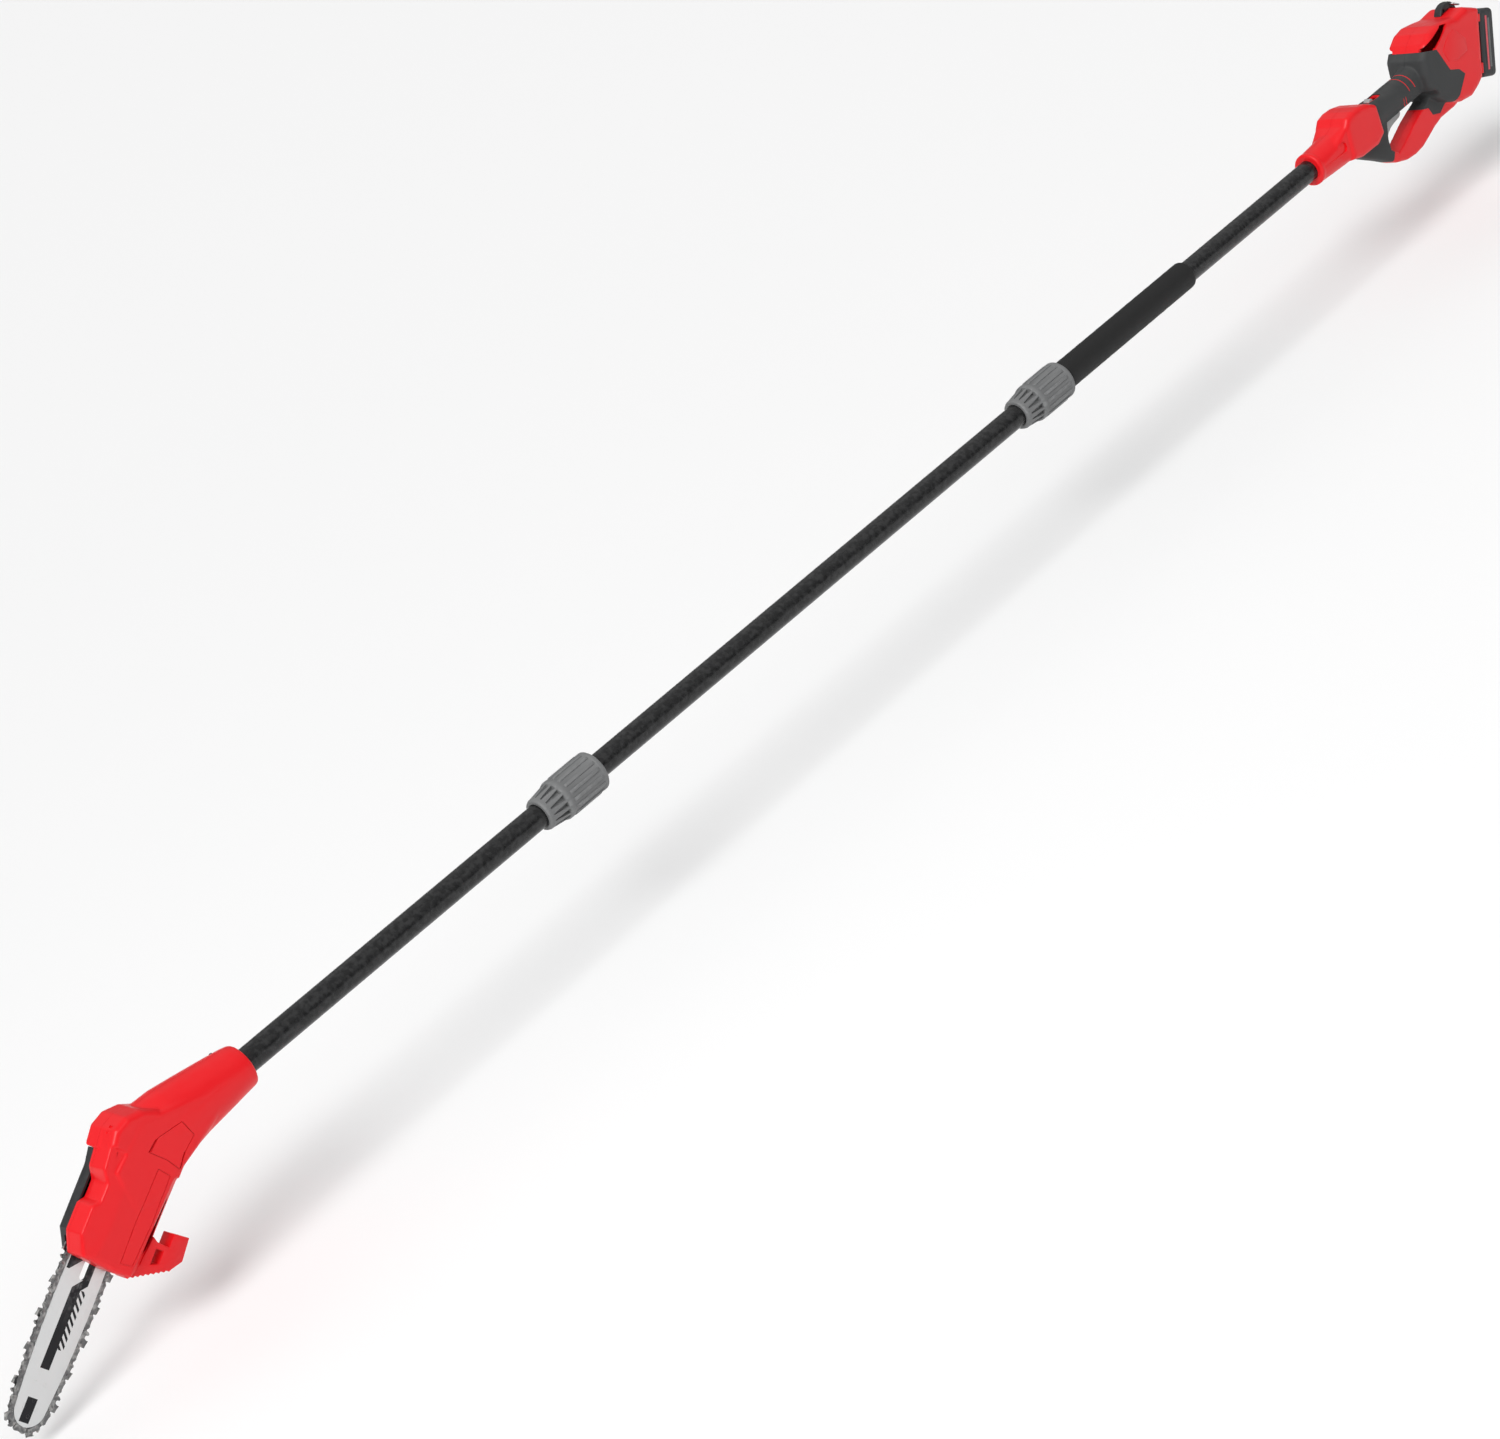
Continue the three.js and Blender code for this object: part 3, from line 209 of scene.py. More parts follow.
def block(name, x0, x1, y0, y1, z0, z1, place=None):
    ring = [(x0, z0), (x1, z0), (x1, z1), (x0, z1)]
    return prism(name, ring, y0, y1, place=place)


def inset(outline, distance):
    """The outline moved inward, each corner to where its two moved sides meet."""
    outline = list(outline)
    if distance == 0:
        return outline
    area = sum(
        a[0] * b[1] - b[0] * a[1] for a, b in zip(outline, outline[1:] + outline[:1], strict=True)
    )
    side = 1 if area > 0 else -1
    moved = []
    for i, (x, z) in enumerate(outline):
        before, after = outline[i - 1], outline[(i + 1) % len(outline)]
        a = Vector((x - before[0], z - before[1])).normalized()
        b = Vector((after[0] - x, after[1] - z)).normalized()
        normal = Vector((-a.y - b.y, a.x + b.x)).normalized()
        reach = distance / max(0.5, normal.dot(Vector((-a.y, a.x))))
        moved.append((x + side * normal.x * reach, z + side * normal.y * reach))
    return moved


def prism(name, outline, y0, y1, chamfer=0.0, steps=3, place=None):
    """A plate across Y of an outline in X and Z, with its rim rounded over the chamfer."""
    levels = [(y0, 0.0), (y1, 0.0)]
    if chamfer:
        turns = [math.pi / 2 * i / steps for i in range(steps + 1)]
        low = [(y0 + chamfer * (1 - math.cos(t)), chamfer * (1 - math.sin(t))) for t in turns]
        high = [(y1 + y0 - y, d) for y, d in reversed(low)]
        levels = low + high
    rings = [[(x, y, z) for x, z in inset(outline, d)] for y, d in levels]
    return mesh_object(name, *skin(rings), place)


def superellipse(section, sides):
    x, z, half_z, half_y, power = section
    ring = []
    for i in range(sides):
        angle = 2 * math.pi * i / sides
        c, s = math.cos(angle), math.sin(angle)
        y = half_y * math.copysign(abs(c) ** (2 / power), c)
        up = half_z * math.copysign(abs(s) ** (2 / power), s)
        ring.append((x, y, z + up))
    return ring


def loft(name, sections, shrink=0.0, sides=96, place=None):
    """A skin over sections of (x, z, half height, half width, power), in smooth steps between them."""
    rings = []
    for a, b in zip(sections, sections[1:], strict=False):
        steps = max(1, round(abs(b[0] - a[0]) / 6))
        for i in range(steps):
            t = i / steps
            rings.append([p + (q - p) * t for p, q in zip(a, b, strict=True)])
    rings.append(list(sections[-1]))
    shrunk = [(x, z, hz - shrink, hy - shrink, n) for x, z, hz, hy, n in rings]
    return mesh_object(name, *skin([superellipse(s, sides) for s in shrunk]), place)


def capsule(name, start, end, radius, place=None):
    """A round-ended rod, used to press grooves."""
    run = Vector(end) - Vector(start)
    turn = Vector((1, 0, 0)).rotation_difference(run.normalized()).to_matrix().to_4x4()
    profile = []
    for i in range(7):
        t = math.pi / 2 * i / 6
        profile.append((-radius * math.cos(t), max(radius * math.sin(t), 0.02)))
    profile += [(run.length - x, r) for x, r in reversed(profile)]
    where = (place or Matrix.Identity(4)) @ Matrix.Translation(start) @ turn
    return turned_x(name, profile, sides=16, place=where)


def hull(name, points, place=None):
    work = bmesh.new()
    for p in points:
        work.verts.new(p)
    out = bmesh.ops.convex_hull(work, input=work.verts)
    extra = {g for g in out["geom_interior"] + out["geom_unused"] if isinstance(g, bmesh.types.BMVert)}
    bmesh.ops.delete(work, geom=list(extra), context="VERTS")
    mesh = bpy.data.meshes.new(name)
    work.to_mesh(mesh)
    work.free()
    mesh.transform(Matrix.Scale(MM, 4) @ (place or Matrix.Identity(4)))
    return placed(name, mesh)


def bake(made):
    """Turns what the object's modifiers make into its own plain mesh."""
    bpy.context.view_layer.update()
    graph = bpy.context.evaluated_depsgraph_get()
    mesh = bpy.data.meshes.new_from_object(made.evaluated_get(graph))
    made.modifiers.clear()
    made.data = mesh
    return made


def remove(*objects):
    for made in objects:
        bpy.data.objects.remove(made)


def merged(name, objects):
    """One object that holds the meshes of several, which are removed."""
    work = bmesh.new()
    for made in objects:
        work.from_mesh(made.data)
    mesh = bpy.data.meshes.new(name)
    work.to_mesh(mesh)
    work.free()
    remove(*objects)
    return placed(name, mesh)


def carve(made, tools, operation="DIFFERENCE", keep=False):
    """Cuts the tools from an object, or joins or intersects them."""
    for tool in tools:
        step = made.modifiers.new("cut", "BOOLEAN")
        step.operation = operation
        step.solver = "MANIFOLD"
        step.object = tool
    bake(made)
    if len(made.data.vertices) == 0:
        raise RuntimeError(f"nothing is left of {made.name} after {operation}")
    if not keep:
        remove(*tools)
    return made


def melted(made, grid, smoothing):
    """The same solid as one moulding with softened edges."""
    remesh = made.modifiers.new("fuse", "REMESH")
    remesh.mode = "VOXEL"
    remesh.voxel_size = grid
    soften = made.modifiers.new("soften", "SMOOTH")
    soften.factor = 0.5
    soften.iterations = smoothing
    return bake(made)


def copy_of(made, name):
    return placed(name, made.data.copy())


def rounded(made, width, angle=35, segments=2):
    """Bevels the sharp edges of a small moulded or machined piece."""
    bevel = made.modifiers.new("round", "BEVEL")
    bevel.width = width * MM
    bevel.segments = segments
    bevel.limit_method = "ANGLE"
    bevel.angle_limit = math.radians(angle)
    return bake(made)


def finish_piece(made, body, material, nodes=(), crease=CREASE):
    """Shades a piece, gives it its material and body, and lets it stand for CAD nodes."""
    mesh = made.data
    mesh.polygons.foreach_set("use_smooth", [True] * len(mesh.polygons))
    mesh.set_sharp_from_angle(angle=math.radians(crease))
    mesh.materials.clear()
    mesh.materials.append(material)
    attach(made, body)
    if nodes:
        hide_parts(*nodes)


# ---- Node trees -------------------------------------------------------------------------------------------


class Graph:
    """Adds nodes to a tree and links them as they are made."""

    def __init__(self, tree):
        self.tree = tree

    def node(self, kind, inputs=None, **fields):
        made = self.tree.nodes.new(kind)
        for key, value in fields.items():
            setattr(made, key, value)
        for key, value in (inputs or {}).items():
            self.feed(made.inputs[key], value)
        return made

    def feed(self, socket, value):
        """Links a socket to another one, or gives it a plain value."""
        if isinstance(value, bpy.types.NodeSocket):
            self.tree.links.new(value, socket)
        else:
            socket.default_value = value

    def math(self, operation, *values):
        return self.node("ShaderNodeMath", dict(enumerate(values)), operation=operation).outputs[0]

    def union(self, masks):
        """The mask that is on wherever one of these is."""
        whole = masks[0]
        for mask in masks[1:]:
            whole = self.math("MAXIMUM", whole, mask)
        return whole

    def ramp(self, value, stops):
        made = self.node("ShaderNodeValToRGB", {"Fac": value})
        elements = made.color_ramp.elements
        while len(elements) < len(stops):
            elements.new(0.5)
        for element, (place, shade) in zip(elements, stops, strict=True):
            element.position = place
            element.color = (*shade, 1) if isinstance(shade, tuple) else (shade, shade, shade, 1)
        return made.outputs["Color"]

    def mix(self, share, a, b):
        made = self.node("ShaderNodeMix", data_type="RGBA")
        for place, value in ((0, share), (6, a), (7, b)):
            self.feed(made.inputs[place], value)
        return made.outputs[2]


def shared_tree(name):
    """Makes a tree's builder return the tree of that name if there is one."""

    def wrap(build):
        return lambda: bpy.data.node_groups.get(name) or build(name)

    return wrap


def geometry_graph(name, inputs):
    """A Geometry Nodes tree with named inputs, its Graph, and the sockets that bring them in."""
    tree = bpy.data.node_groups.new(name, "GeometryNodeTree")
    tree.interface.new_socket("Geometry", in_out="INPUT", socket_type="NodeSocketGeometry")
    tree.interface.new_socket("Geometry", in_out="OUTPUT", socket_type="NodeSocketGeometry")
    for label, kind, value in inputs:
        socket = tree.interface.new_socket(label, in_out="INPUT", socket_type=f"NodeSocket{kind}")
        socket.default_value = value
    socket = tree.interface.new_socket("Material", in_out="INPUT", socket_type="NodeSocketMaterial")
    graph = Graph(tree)
    enter = graph.node("NodeGroupInput")
    return graph, enter.outputs


def end_graph(graph, enter, geometry):
    real = graph.node("GeometryNodeRealizeInstances", {"Geometry": geometry})
    painted = graph.node(
        "GeometryNodeSetMaterial", {"Geometry": real.outputs[0], "Material": enter["Material"]}
    )
    graph.node("NodeGroupOutput", {"Geometry": painted.outputs[0]})
    return graph.tree


def grown(name, tree, values, material, base=None):
    """A plain mesh from a Geometry Nodes tree with these values at its named inputs."""
    made = base or mesh_object(name, [], [])
    made.name = name
    step = made.modifiers.new("grow", "NODES")
    step.node_group = tree
    identifiers = {s.name: s.identifier for s in tree.interface.items_tree if s.in_out == "INPUT"}
    for label, value in {**values, "Material": material}.items():
        step[identifiers[label]] = value
    return bake(made)


# ---- Finishes ---------------------------------------------------------------------------------------------


def shader_group(name, inputs, outputs):
    tree = bpy.data.node_groups.new(name, "ShaderNodeTree")
    for label, value in inputs:
        kind = "NodeSocketColor" if isinstance(value, tuple) else "NodeSocketFloat"
        tree.interface.new_socket(label, in_out="INPUT", socket_type=kind).default_value = value
    for label, kind in outputs:
        tree.interface.new_socket(label, in_out="OUTPUT", socket_type=kind)
    graph = Graph(tree)
    return graph, graph.node("NodeGroupInput").outputs


def build_grain():
    """Fine texture: a height, and a value that varies slowly for roughness."""
    graph, enter = shader_group(
        "Fine grain",
        [("Scale", 900.0), ("Stretch", 1.0)],
        [("Height", "NodeSocketFloat"), ("Patches", "NodeSocketFloat")],
    )
    where = graph.node("ShaderNodeTexCoord").outputs["Object"]
    squash = graph.node("ShaderNodeCombineXYZ", {0: enter["Stretch"], 1: 1.0, 2: 1.0}).outputs[0]
    run = graph.node("ShaderNodeVectorMath", {0: where, 1: squash}, operation="MULTIPLY").outputs[0]
    fine = graph.node(
        "ShaderNodeTexNoise", {"Vector": run, "Scale": enter["Scale"], "Detail": 3.0, "Roughness": 0.6}
    )
    patches = graph.node("ShaderNodeTexNoise", {"Vector": run, "Scale": 22.0, "Detail": 4.0})
    graph.node("NodeGroupOutput", {"Height": fine.outputs["Fac"], "Patches": patches.outputs["Fac"]})
    return graph.tree


def build_wear():
    """Pale rubbed edges: a mask from 0 to 1 on convex edges, broken up by noise."""
    graph, enter = shader_group("Edge wear", [("Amount", 0.5)], [("Mask", "NodeSocketFloat")])
    where = graph.node("ShaderNodeTexCoord").outputs["Object"]
    point = graph.node("ShaderNodeNewGeometry").outputs["Pointiness"]
    edge = graph.ramp(point, [(0.53, 0.0), (0.62, 1.0)])
    noise = graph.node("ShaderNodeTexNoise", {"Vector": where, "Scale": 140.0, "Detail": 4.0})
    broken = graph.ramp(noise.outputs["Fac"], [(0.42, 0.0), (0.62, 1.0)])
    both = graph.math("MULTIPLY", edge, broken)
    graph.node("NodeGroupOutput", {"Mask": graph.math("MULTIPLY", both, enter["Amount"])})
    return graph.tree


def build_dust():
    """Light dust: a mask that grows on faces that look up."""
    graph, enter = shader_group("Dust", [("Amount", 0.1)], [("Mask", "NodeSocketFloat")])
    where = graph.node("ShaderNodeTexCoord").outputs["Object"]
    normal = graph.node("ShaderNodeNewGeometry").outputs["Normal"]
    up = graph.node("ShaderNodeSeparateXYZ", {0: normal}).outputs["Z"]
    top = graph.ramp(up, [(0.2, 0.0), (1.0, 1.0)])
    noise = graph.node("ShaderNodeTexNoise", {"Vector": where, "Scale": 60.0, "Detail": 6.0})
    cloud = graph.ramp(noise.outputs["Fac"], [(0.35, 0.0), (0.75, 1.0)])
    both = graph.math("MULTIPLY", top, cloud)
    graph.node("NodeGroupOutput", {"Mask": graph.math("MULTIPLY", both, enter["Amount"])})
    return graph.tree


DUST = (0.55, 0.53, 0.5)
BAR_INK = (0.022, 0.022, 0.024)


class Finishes:
    """The materials, each made once."""

    def __init__(self, colours):
        self.colours = colours
        groups = bpy.data.node_groups
        self.grain = groups.get("Fine grain") or build_grain()
        self.wear = groups.get("Edge wear") or build_wear()
        self.dust = groups.get("Dust") or build_dust()

    def plain(self, name, base, roughness, metallic=0.0, grain=(900.0, 1.0, 0.04), spread=0.08, wear=0.25,
              worn=None, dust=0.04, coat=0.0, specular=0.35, pattern=None):
        """A material with grain, worn edges and dust over a base colour, or over a pattern's colour."""
        material = bpy.data.materials.new(name)
        material.use_nodes = True
        graph = Graph(material.node_tree)
        shader = material.node_tree.nodes["Principled BSDF"]
        base = (*base, 1.0)
        tone = pattern(graph, base) if pattern else base
        fine = graph.node("ShaderNodeGroup", node_tree=self.grain)
        fine.inputs["Scale"].default_value = grain[0]
        fine.inputs["Stretch"].default_value = grain[1]
        edge = graph.node("ShaderNodeGroup", node_tree=self.wear)
        edge.inputs["Amount"].default_value = wear
        film = graph.node("ShaderNodeGroup", node_tree=self.dust)
        film.inputs["Amount"].default_value = dust
        rubbed = worn or tuple(min(1.0, c * 1.6 + 0.03) for c in base[:3])
        tone = graph.mix(edge.outputs["Mask"], tone, (*rubbed, 1.0))
        tone = graph.mix(film.outputs["Mask"], tone, (*DUST, 1.0))
        material.node_tree.links.new(tone, shader.inputs["Base Color"])
        level = graph.node(
            "ShaderNodeMapRange",
            {"Value": fine.outputs["Patches"], "To Min": roughness - spread, "To Max": roughness + spread},
        ).outputs[0]
        material.node_tree.links.new(level, shader.inputs["Roughness"])
        shader.inputs["Metallic"].default_value = metallic
        shader.inputs["Coat Weight"].default_value = coat
        shader.inputs["Specular IOR Level"].default_value = specular
        bump = graph.node(
            "ShaderNodeBump", {"Height": fine.outputs["Height"], "Strength": grain[2], "Distance": 0.0004}
        )
        material.node_tree.links.new(bump.outputs[0], shader.inputs["Normal"])
        return material

    def get(self, name):
        label = f"finish_{name}"
        material = bpy.data.materials.get(label)
        if material is None:
            material = getattr(self, name)()
            material.name = label
        return material

    def red(self):
        return self.plain("Red moulding", self.colours.red, 0.34, grain=(1400.0, 1.0, 0.04), wear=0.2,
                          worn=(0.9, 0.07, 0.07), dust=0.012, specular=0.3)

    def overmould(self):
        return self.plain("Soft overmould", self.colours.overmould, 0.68, grain=(1900.0, 1.0, 0.25),
                          wear=0.15, pattern=self.accents)

    def black(self):
        return self.plain("Black plastic", self.colours.black, 0.45, grain=(1500.0, 1.0, 0.12))

    def battery(self):
        return self.plain("Battery plastic", (0.03, 0.031, 0.034), 0.5, grain=(1500.0, 1.0, 0.12))

    def stripe(self):
        return self.plain("Battery stripe", (0.62, 0.09, 0.11), 0.4, grain=(1500.0, 1.0, 0.05))

    def panel(self):
        return self.plain("Battery panel", (0.12, 0.122, 0.125), 0.35, grain=(1500.0, 1.0, 0.05))

    def collar(self):
        return self.plain("Collar plastic", self.colours.collar, 0.5, grain=(1300.0, 1.0, 0.15), wear=0.35)

    def pale(self):
        return self.plain("Pale plastic", self.colours.pale, 0.42, grain=(1300.0, 1.0, 0.08))

    def tube(self):
        return self.plain("Coated tube", self.colours.tube, 0.27, grain=(500.0, 0.01, 0.02), spread=0.015,
                          wear=0.5, dust=0.004, coat=0.12, specular=0.3)

    def foam(self):
        return self.plain("Foam", self.colours.foam, 0.68, grain=(2300.0, 1.0, 0.6), wear=0.1, spread=0.04,
                          dust=0.0, specular=0.45)

    def steel(self):
        return self.plain("Machined steel", (0.5, 0.51, 0.52), 0.32, metallic=1.0, grain=(900.0, 0.1, 0.1))

    def chain(self):
        return self.plain("Chain steel", (0.15, 0.15, 0.152), 0.36, metallic=0.85, grain=(900.0, 1.0, 0.15),
                          worn=(0.6, 0.6, 0.58), wear=0.9)

    def dark_steel(self):
        return self.plain("Dark steel", (0.1, 0.1, 0.105), 0.42, metallic=0.9)

    def bar(self):
        return self.plain("Printed bar", self.colours.bar, 0.3, metallic=0.75, grain=(500.0, 0.05, 0.08),
                          spread=0.07, dust=0.02, pattern=self.bar_print)

    def aluminium(self):
        return self.plain("Cast aluminium", (0.42, 0.43, 0.44), 0.5, metallic=1.0, grain=(600.0, 1.0, 0.3))

    def copper(self):
        return self.plain("Windings", (0.45, 0.13, 0.04), 0.4, metallic=0.9)

    def wrap(self):
        return self.plain("Cell wrap", (0.03, 0.2, 0.26), 0.35)

    def accents(self, graph, base):
        """Thin red lines round the two ends of the grip."""
        where = graph.node("ShaderNodeTexCoord").outputs["Object"]
        axes = graph.node("ShaderNodeSeparateXYZ", {0: where}).outputs
        lean = graph.math("MULTIPLY_ADD", axes["Z"], 0.28, axes["X"])
        upper = graph.math("GREATER_THAN", axes["Z"], 0.004)
        lower = graph.math("LESS_THAN", axes["Z"], 0.001)
        lines = []
        for centre, half, part in (
            (0.0035, 0.0007, upper), (0.0175, 0.0007, upper), (-0.0165, 0.0006, lower),
            (-0.0105, 0.0006, lower),
        ):
            gap = graph.math("ABSOLUTE", graph.math("SUBTRACT", lean, centre))
            lines.append(graph.math("MULTIPLY", graph.math("LESS_THAN", gap, half), part))
        return graph.mix(graph.union(lines), base, (*self.colours.red, 1.0))

    def bar_print(self, graph, base):
        """Black printed bands and slanted stripes on both faces of the bar, in the bar's own directions."""
        where = graph.node("ShaderNodeTexCoord").outputs["Object"]
        pivot = TO_BAR.to_translation() * MM
        turned = graph.node(
            "ShaderNodeVectorRotate",
            {"Vector": where, "Center": tuple(pivot), "Angle": BAR_ANGLE},
            rotation_type="Y_AXIS",
        ).outputs[0]
        local = graph.node(
            "ShaderNodeVectorMath", {0: turned, 1: tuple(pivot)}, operation="SUBTRACT"
        ).outputs[0]
        axes = graph.node("ShaderNodeSeparateXYZ", {0: local}).outputs
        along = graph.math("MULTIPLY", axes["X"], -1.0 / MM)
        across = graph.math("MULTIPLY", axes["Z"], 1.0 / MM)

        def between(value, low, high):
            above = graph.math("GREATER_THAN", value, low)
            return graph.math("MULTIPLY", above, graph.math("LESS_THAN", value, high))

        def zone(a0, a1, b0, b1):
            return graph.math("MULTIPLY", between(along, a0, a1), between(across, b0, b1))

        slanted = graph.math("ADD", along, across)
        leaning = graph.math("SUBTRACT", along, across)
        shapes = [
            graph.math("MULTIPLY", zone(100, 142, 4, 25), graph.math("LESS_THAN", leaning, 121)),
            zone(100, 153, -11.2, -4),
            graph.math("MULTIPLY", zone(147, 252, -4, 8.5), graph.math("GREATER_THAN", leaning, 151)),
            graph.math("MULTIPLY", zone(152.9, 161, -11.2, -4), graph.math("LESS_THAN", leaning, 164.5)),
            zone(285, 313, -4.5, 9),
        ]
        stripe = graph.math("LESS_THAN", graph.math("FRACT", graph.math("DIVIDE", slanted, 8.4)), 0.5)
        shapes.append(graph.math("MULTIPLY", zone(160, 228, -12, -3.3), stripe))
        return graph.mix(graph.union(shapes), base, (*BAR_INK, 1.0))


# ---- Shape data -------------------------------------------------------------------------------------------

NOSE = [
    (NOSE_X, 0, 22.5, 22.5, 2.0), (NOSE_X + 1.5, 0, 25.2, 25.2, 2.0), (NOSE_X + 6, 0, 25.6, 25.6, 2.0),
    (NOSE_X + 8, 0, 24.8, 24.8, 2.0), (NOSE_X + 35, 0, 26, 25.6, 2.15), (NOSE_X + 70, 0.5, 27.5, 26.8, 2.3),
    (NOSE_X + 100, 2, 29.5, 28.5, 2.5), (NOSE_X + 135, 4, 29, 28, 2.5),
]
GRIP = [
    (-112, 3, 26, 25, 2.5), (-86, 5, 24, 21.5, 2.4), (-62, 6, 21.5, 19, 2.3), (-30, 6, 21.9, 19.4, 2.3),
    (8, 6, 21.5, 19, 2.3), (32, 7, 23.5, 21.5, 2.4), (52, 10, 30.5, 30, 2.6), (74, 10, 33.5, 34, 2.6),
]
SHOULDER = [
    (-181, -20), (-177, 30), (-166, 42), (-150, 45), (-132, 44), (-112, 39), (-92, 28), (-92, -18),
    (-112, -28), (-155, -27),
]
GUARD = [
    (-168, -10), (-158, -25), (-97, -61), (-65, -81), (-40, -89), (-17, -91), (3, -89), (22, -83),
    (42, -76), (64, -71), (104, -71), (126, -67), (146, -58), (150, -20), (110, 10), (-60, 10),
]
WINDOW = [
    (-64, -15), (-72, -38), (-73, -56), (-58, -69), (-37, -62), (-1, -46), (20, -39), (44, -32), (50, -24),
    (44, -14.5),
]
REAR = [
    (34, -8), (30, 14), (33, 38), (50, 57), (67, 67), (88, 70), (112, 66), (136, 61), (168, 63),
    (199.4, 47.2), (162.5, -52), (146, -60), (126, -66), (98, -62), (66, -46), (46, -28),
]
OVERMOULD = [
    (-122, 70), (-94, 31), (-94, -15), (-104, -27), (-175, -27), (-175, -75), (-86, -100), (-76, -76),
    (-62, -55), (0, -30), (38, -42), (44, -56), (62, -62), (92, -48), (119, -25), (108, -12), (87, -3),
    (69, 39), (49, 46), (26, 52), (10, 75),
]
VENT = [(112, 62), (96, 66), (50, 54), (35, 47), (60, 38), (88, 49)]
LABEL = [
    (NOSE_X + 15, 0), (NOSE_X + 62, -1), (NOSE_X + 66, 3), (NOSE_X + 66, 11), (NOSE_X + 62, 15),
    (NOSE_X + 15, 14), (NOSE_X + 12, 10), (NOSE_X + 12, 4),
]
LEDGE = [(50, 47), (88, 42), (90, 46), (54, 51)]
HEXAGON = [(102, 45), (121, 48), (143, 22), (139, 4), (107, 2), (89, 10), (82, 31)]
HANDLE_SCREWS = [
    (-150, 28, 30), (-150, 28, -12), (60, 33, 52), (128, 33, 52), (126, 33, -44), (84, 33, -58),
    (-6, 13, -80), (-120, 13, -38),
]
SCREW_WELL_R = 4.3
SHOULDER_HALF = 31
GUARD_HALF = 15
REAR_HALF = 37
HANDLE_WALL = 3
HANDLE_SKIN = 1.6
TRIGGER_PIN = (-60, -6.5)

NECK = [
    (0, 0, 25.5, 25.5, 2.0), (-1, 0.1, 27.2, 26.8, 2.0), (-3, 0.3, 28, 27.6, 2.0),
    (-12, 1.2, 29.6, 28.6, 2.0), (-42, 2.5, 33.5, 30, 2.15), (-81, 4, 38.4, 31, 2.3),
    (-111, 3.6, 43.6, 31, 2.4), (-145, 1.5, 47, 30, 2.5),
]
NECK_GROOVES = [((-28, 25), (-109, 52)), ((-10, 14), (-87, 11)), ((-4, -18), (-88, -13))]
BODY = [
    (50, -6), (44, -36), (24, -49), (-80, -49), (-112, -44), (-130, -36), (-131, -14), (-127, 33),
    (-104, 46), (-72, 46), (-64, 39), (-44, 39), (-31, 49), (-8, 52), (12, 56), (30, 49), (44, 33), (52, 12),
]
ELBOW_RIGHT = [
    (50, -6), (44, -36), (24, -49), (-10.6, -49), (-10.6, 53), (12, 56), (30, 49), (44, 33), (52, 12),
]
ELBOW_PANEL = [(50, -20), (42, -43), (22, -40), (0, -42), (4, -20), (4, 4), (23, 2)]
SLITS = [(4.3, 5.6, 20.7, 3.1), (1.7, -41.9, 20.5, -38.8)]
SLIT_HALF = 0.9
SIDE_PANEL = [(-8, -14), (-10, -33), (-66, -34), (-117, -30), (-119, -13), (-70, -12)]
HOOK = [(-78, -46), (-82, -54), (-83, -71), (-67, -71), (-65, -92), (-92, -95)]
HOOK_TOE = (-104, -85)
SPIKES = 9
SPIKE_DEPTH = 2.4
HOOK_BASE = [(-130.5, -30), (-112, -42)]
HOOK_WINDOW = [(-89, -55), (-89, -66), (-104, -66), (-108, -55)]
COVER = [
    (-11, -47), (-80, -47), (-110, -42), (-127, -34), (-128.5, -14), (-124, 30), (-103, 44), (-30, 44),
    (-11, 48),
]
HEAD_SCREWS = [(-18, 27, 22), (-18, 27, -22), (-96, 28, 30), (-96, 28, -24)]
HEAD_LEFT = 30
HEAD_RIGHT = 26
PLATE_TO = 5.5
HEAD_CHAMFER = 7
MOTOR_FRONT = -154.987
APEX_X = -175.987
SPROCKET = (-201.191, -24.285)

BAR_TAIL = 66
BAR_MIDDLE = 170
BAR_WIDTH = 54.4
NOSE_CENTRE = 296.5
BAR_NOSE_R = 21
SPROCKET_AT = 44
SPROCKET_LOOP_R = 19.5
STUD_AT = 95
TENSION_Z = 14
TENSION_Y = 2.9
BLOCK_AT = 82
PLATE_NEAR = 0.75  # the chain's side plates lie between these distances from its middle
PLATE_FAR = 2
CHAIN_LIFT = 4.8  # from the bar's edge out to the chain's pitch line


def half_space(name, axis, low, high):
    """A box that fills the world between two values along one axis."""
    reach = 4 * FAR
    span = [[-reach, reach] for _ in range(3)]
    span[axis] = [low, high]
    return block(name, *span[0], *span[1], *span[2])


def side_span(side, near, far):
    """The low and the high end of a span across Y, on the side whose sign is given."""
    return sorted((side * near, side * far))


def left_half():
    return half_space("left_half", 1, -FAR, -SEAM)


def right_half():
    return half_space("right_half", 1, SEAM, FAR)


def across_y(name, x, z, radius, y0, y1, place=None, sides=32):
    return turned_y(name, [(y0, radius), (y1, radius)], x, z, sides=sides, place=place)


def along_x(name, radius, x0, x1, place=None, y=0.0, z=0.0, sides=64):
    return turned_x(name, [(x0, radius), (x1, radius)], y=y, z=z, sides=sides, place=place)


# ---- Repeats ----------------------------------------------------------------------------------------------


@shared_tree("Round pattern")
def round_pattern(name):
    """Copies of a piece turned round an axis through the origin."""
    graph, enter = geometry_graph(name, [("Count", "Int", 8), ("Axis", "Vector", (1, 0, 0))])
    points = graph.node("GeometryNodeMeshLine", {"Count": enter["Count"], "Offset": (0, 0, 0)})
    index = graph.node("GeometryNodeInputIndex").outputs[0]
    turn = graph.math("MULTIPLY", graph.math("DIVIDE", index, enter["Count"]), 2 * math.pi)
    rotation = graph.node("FunctionNodeAxisAngleToRotation", {"Axis": enter["Axis"], "Angle": turn})
    copies = graph.node(
        "GeometryNodeInstanceOnPoints",
        {"Points": points.outputs[0], "Instance": enter["Geometry"], "Rotation": rotation.outputs[0]},
    )
    return end_graph(graph, enter, copies.outputs[0])


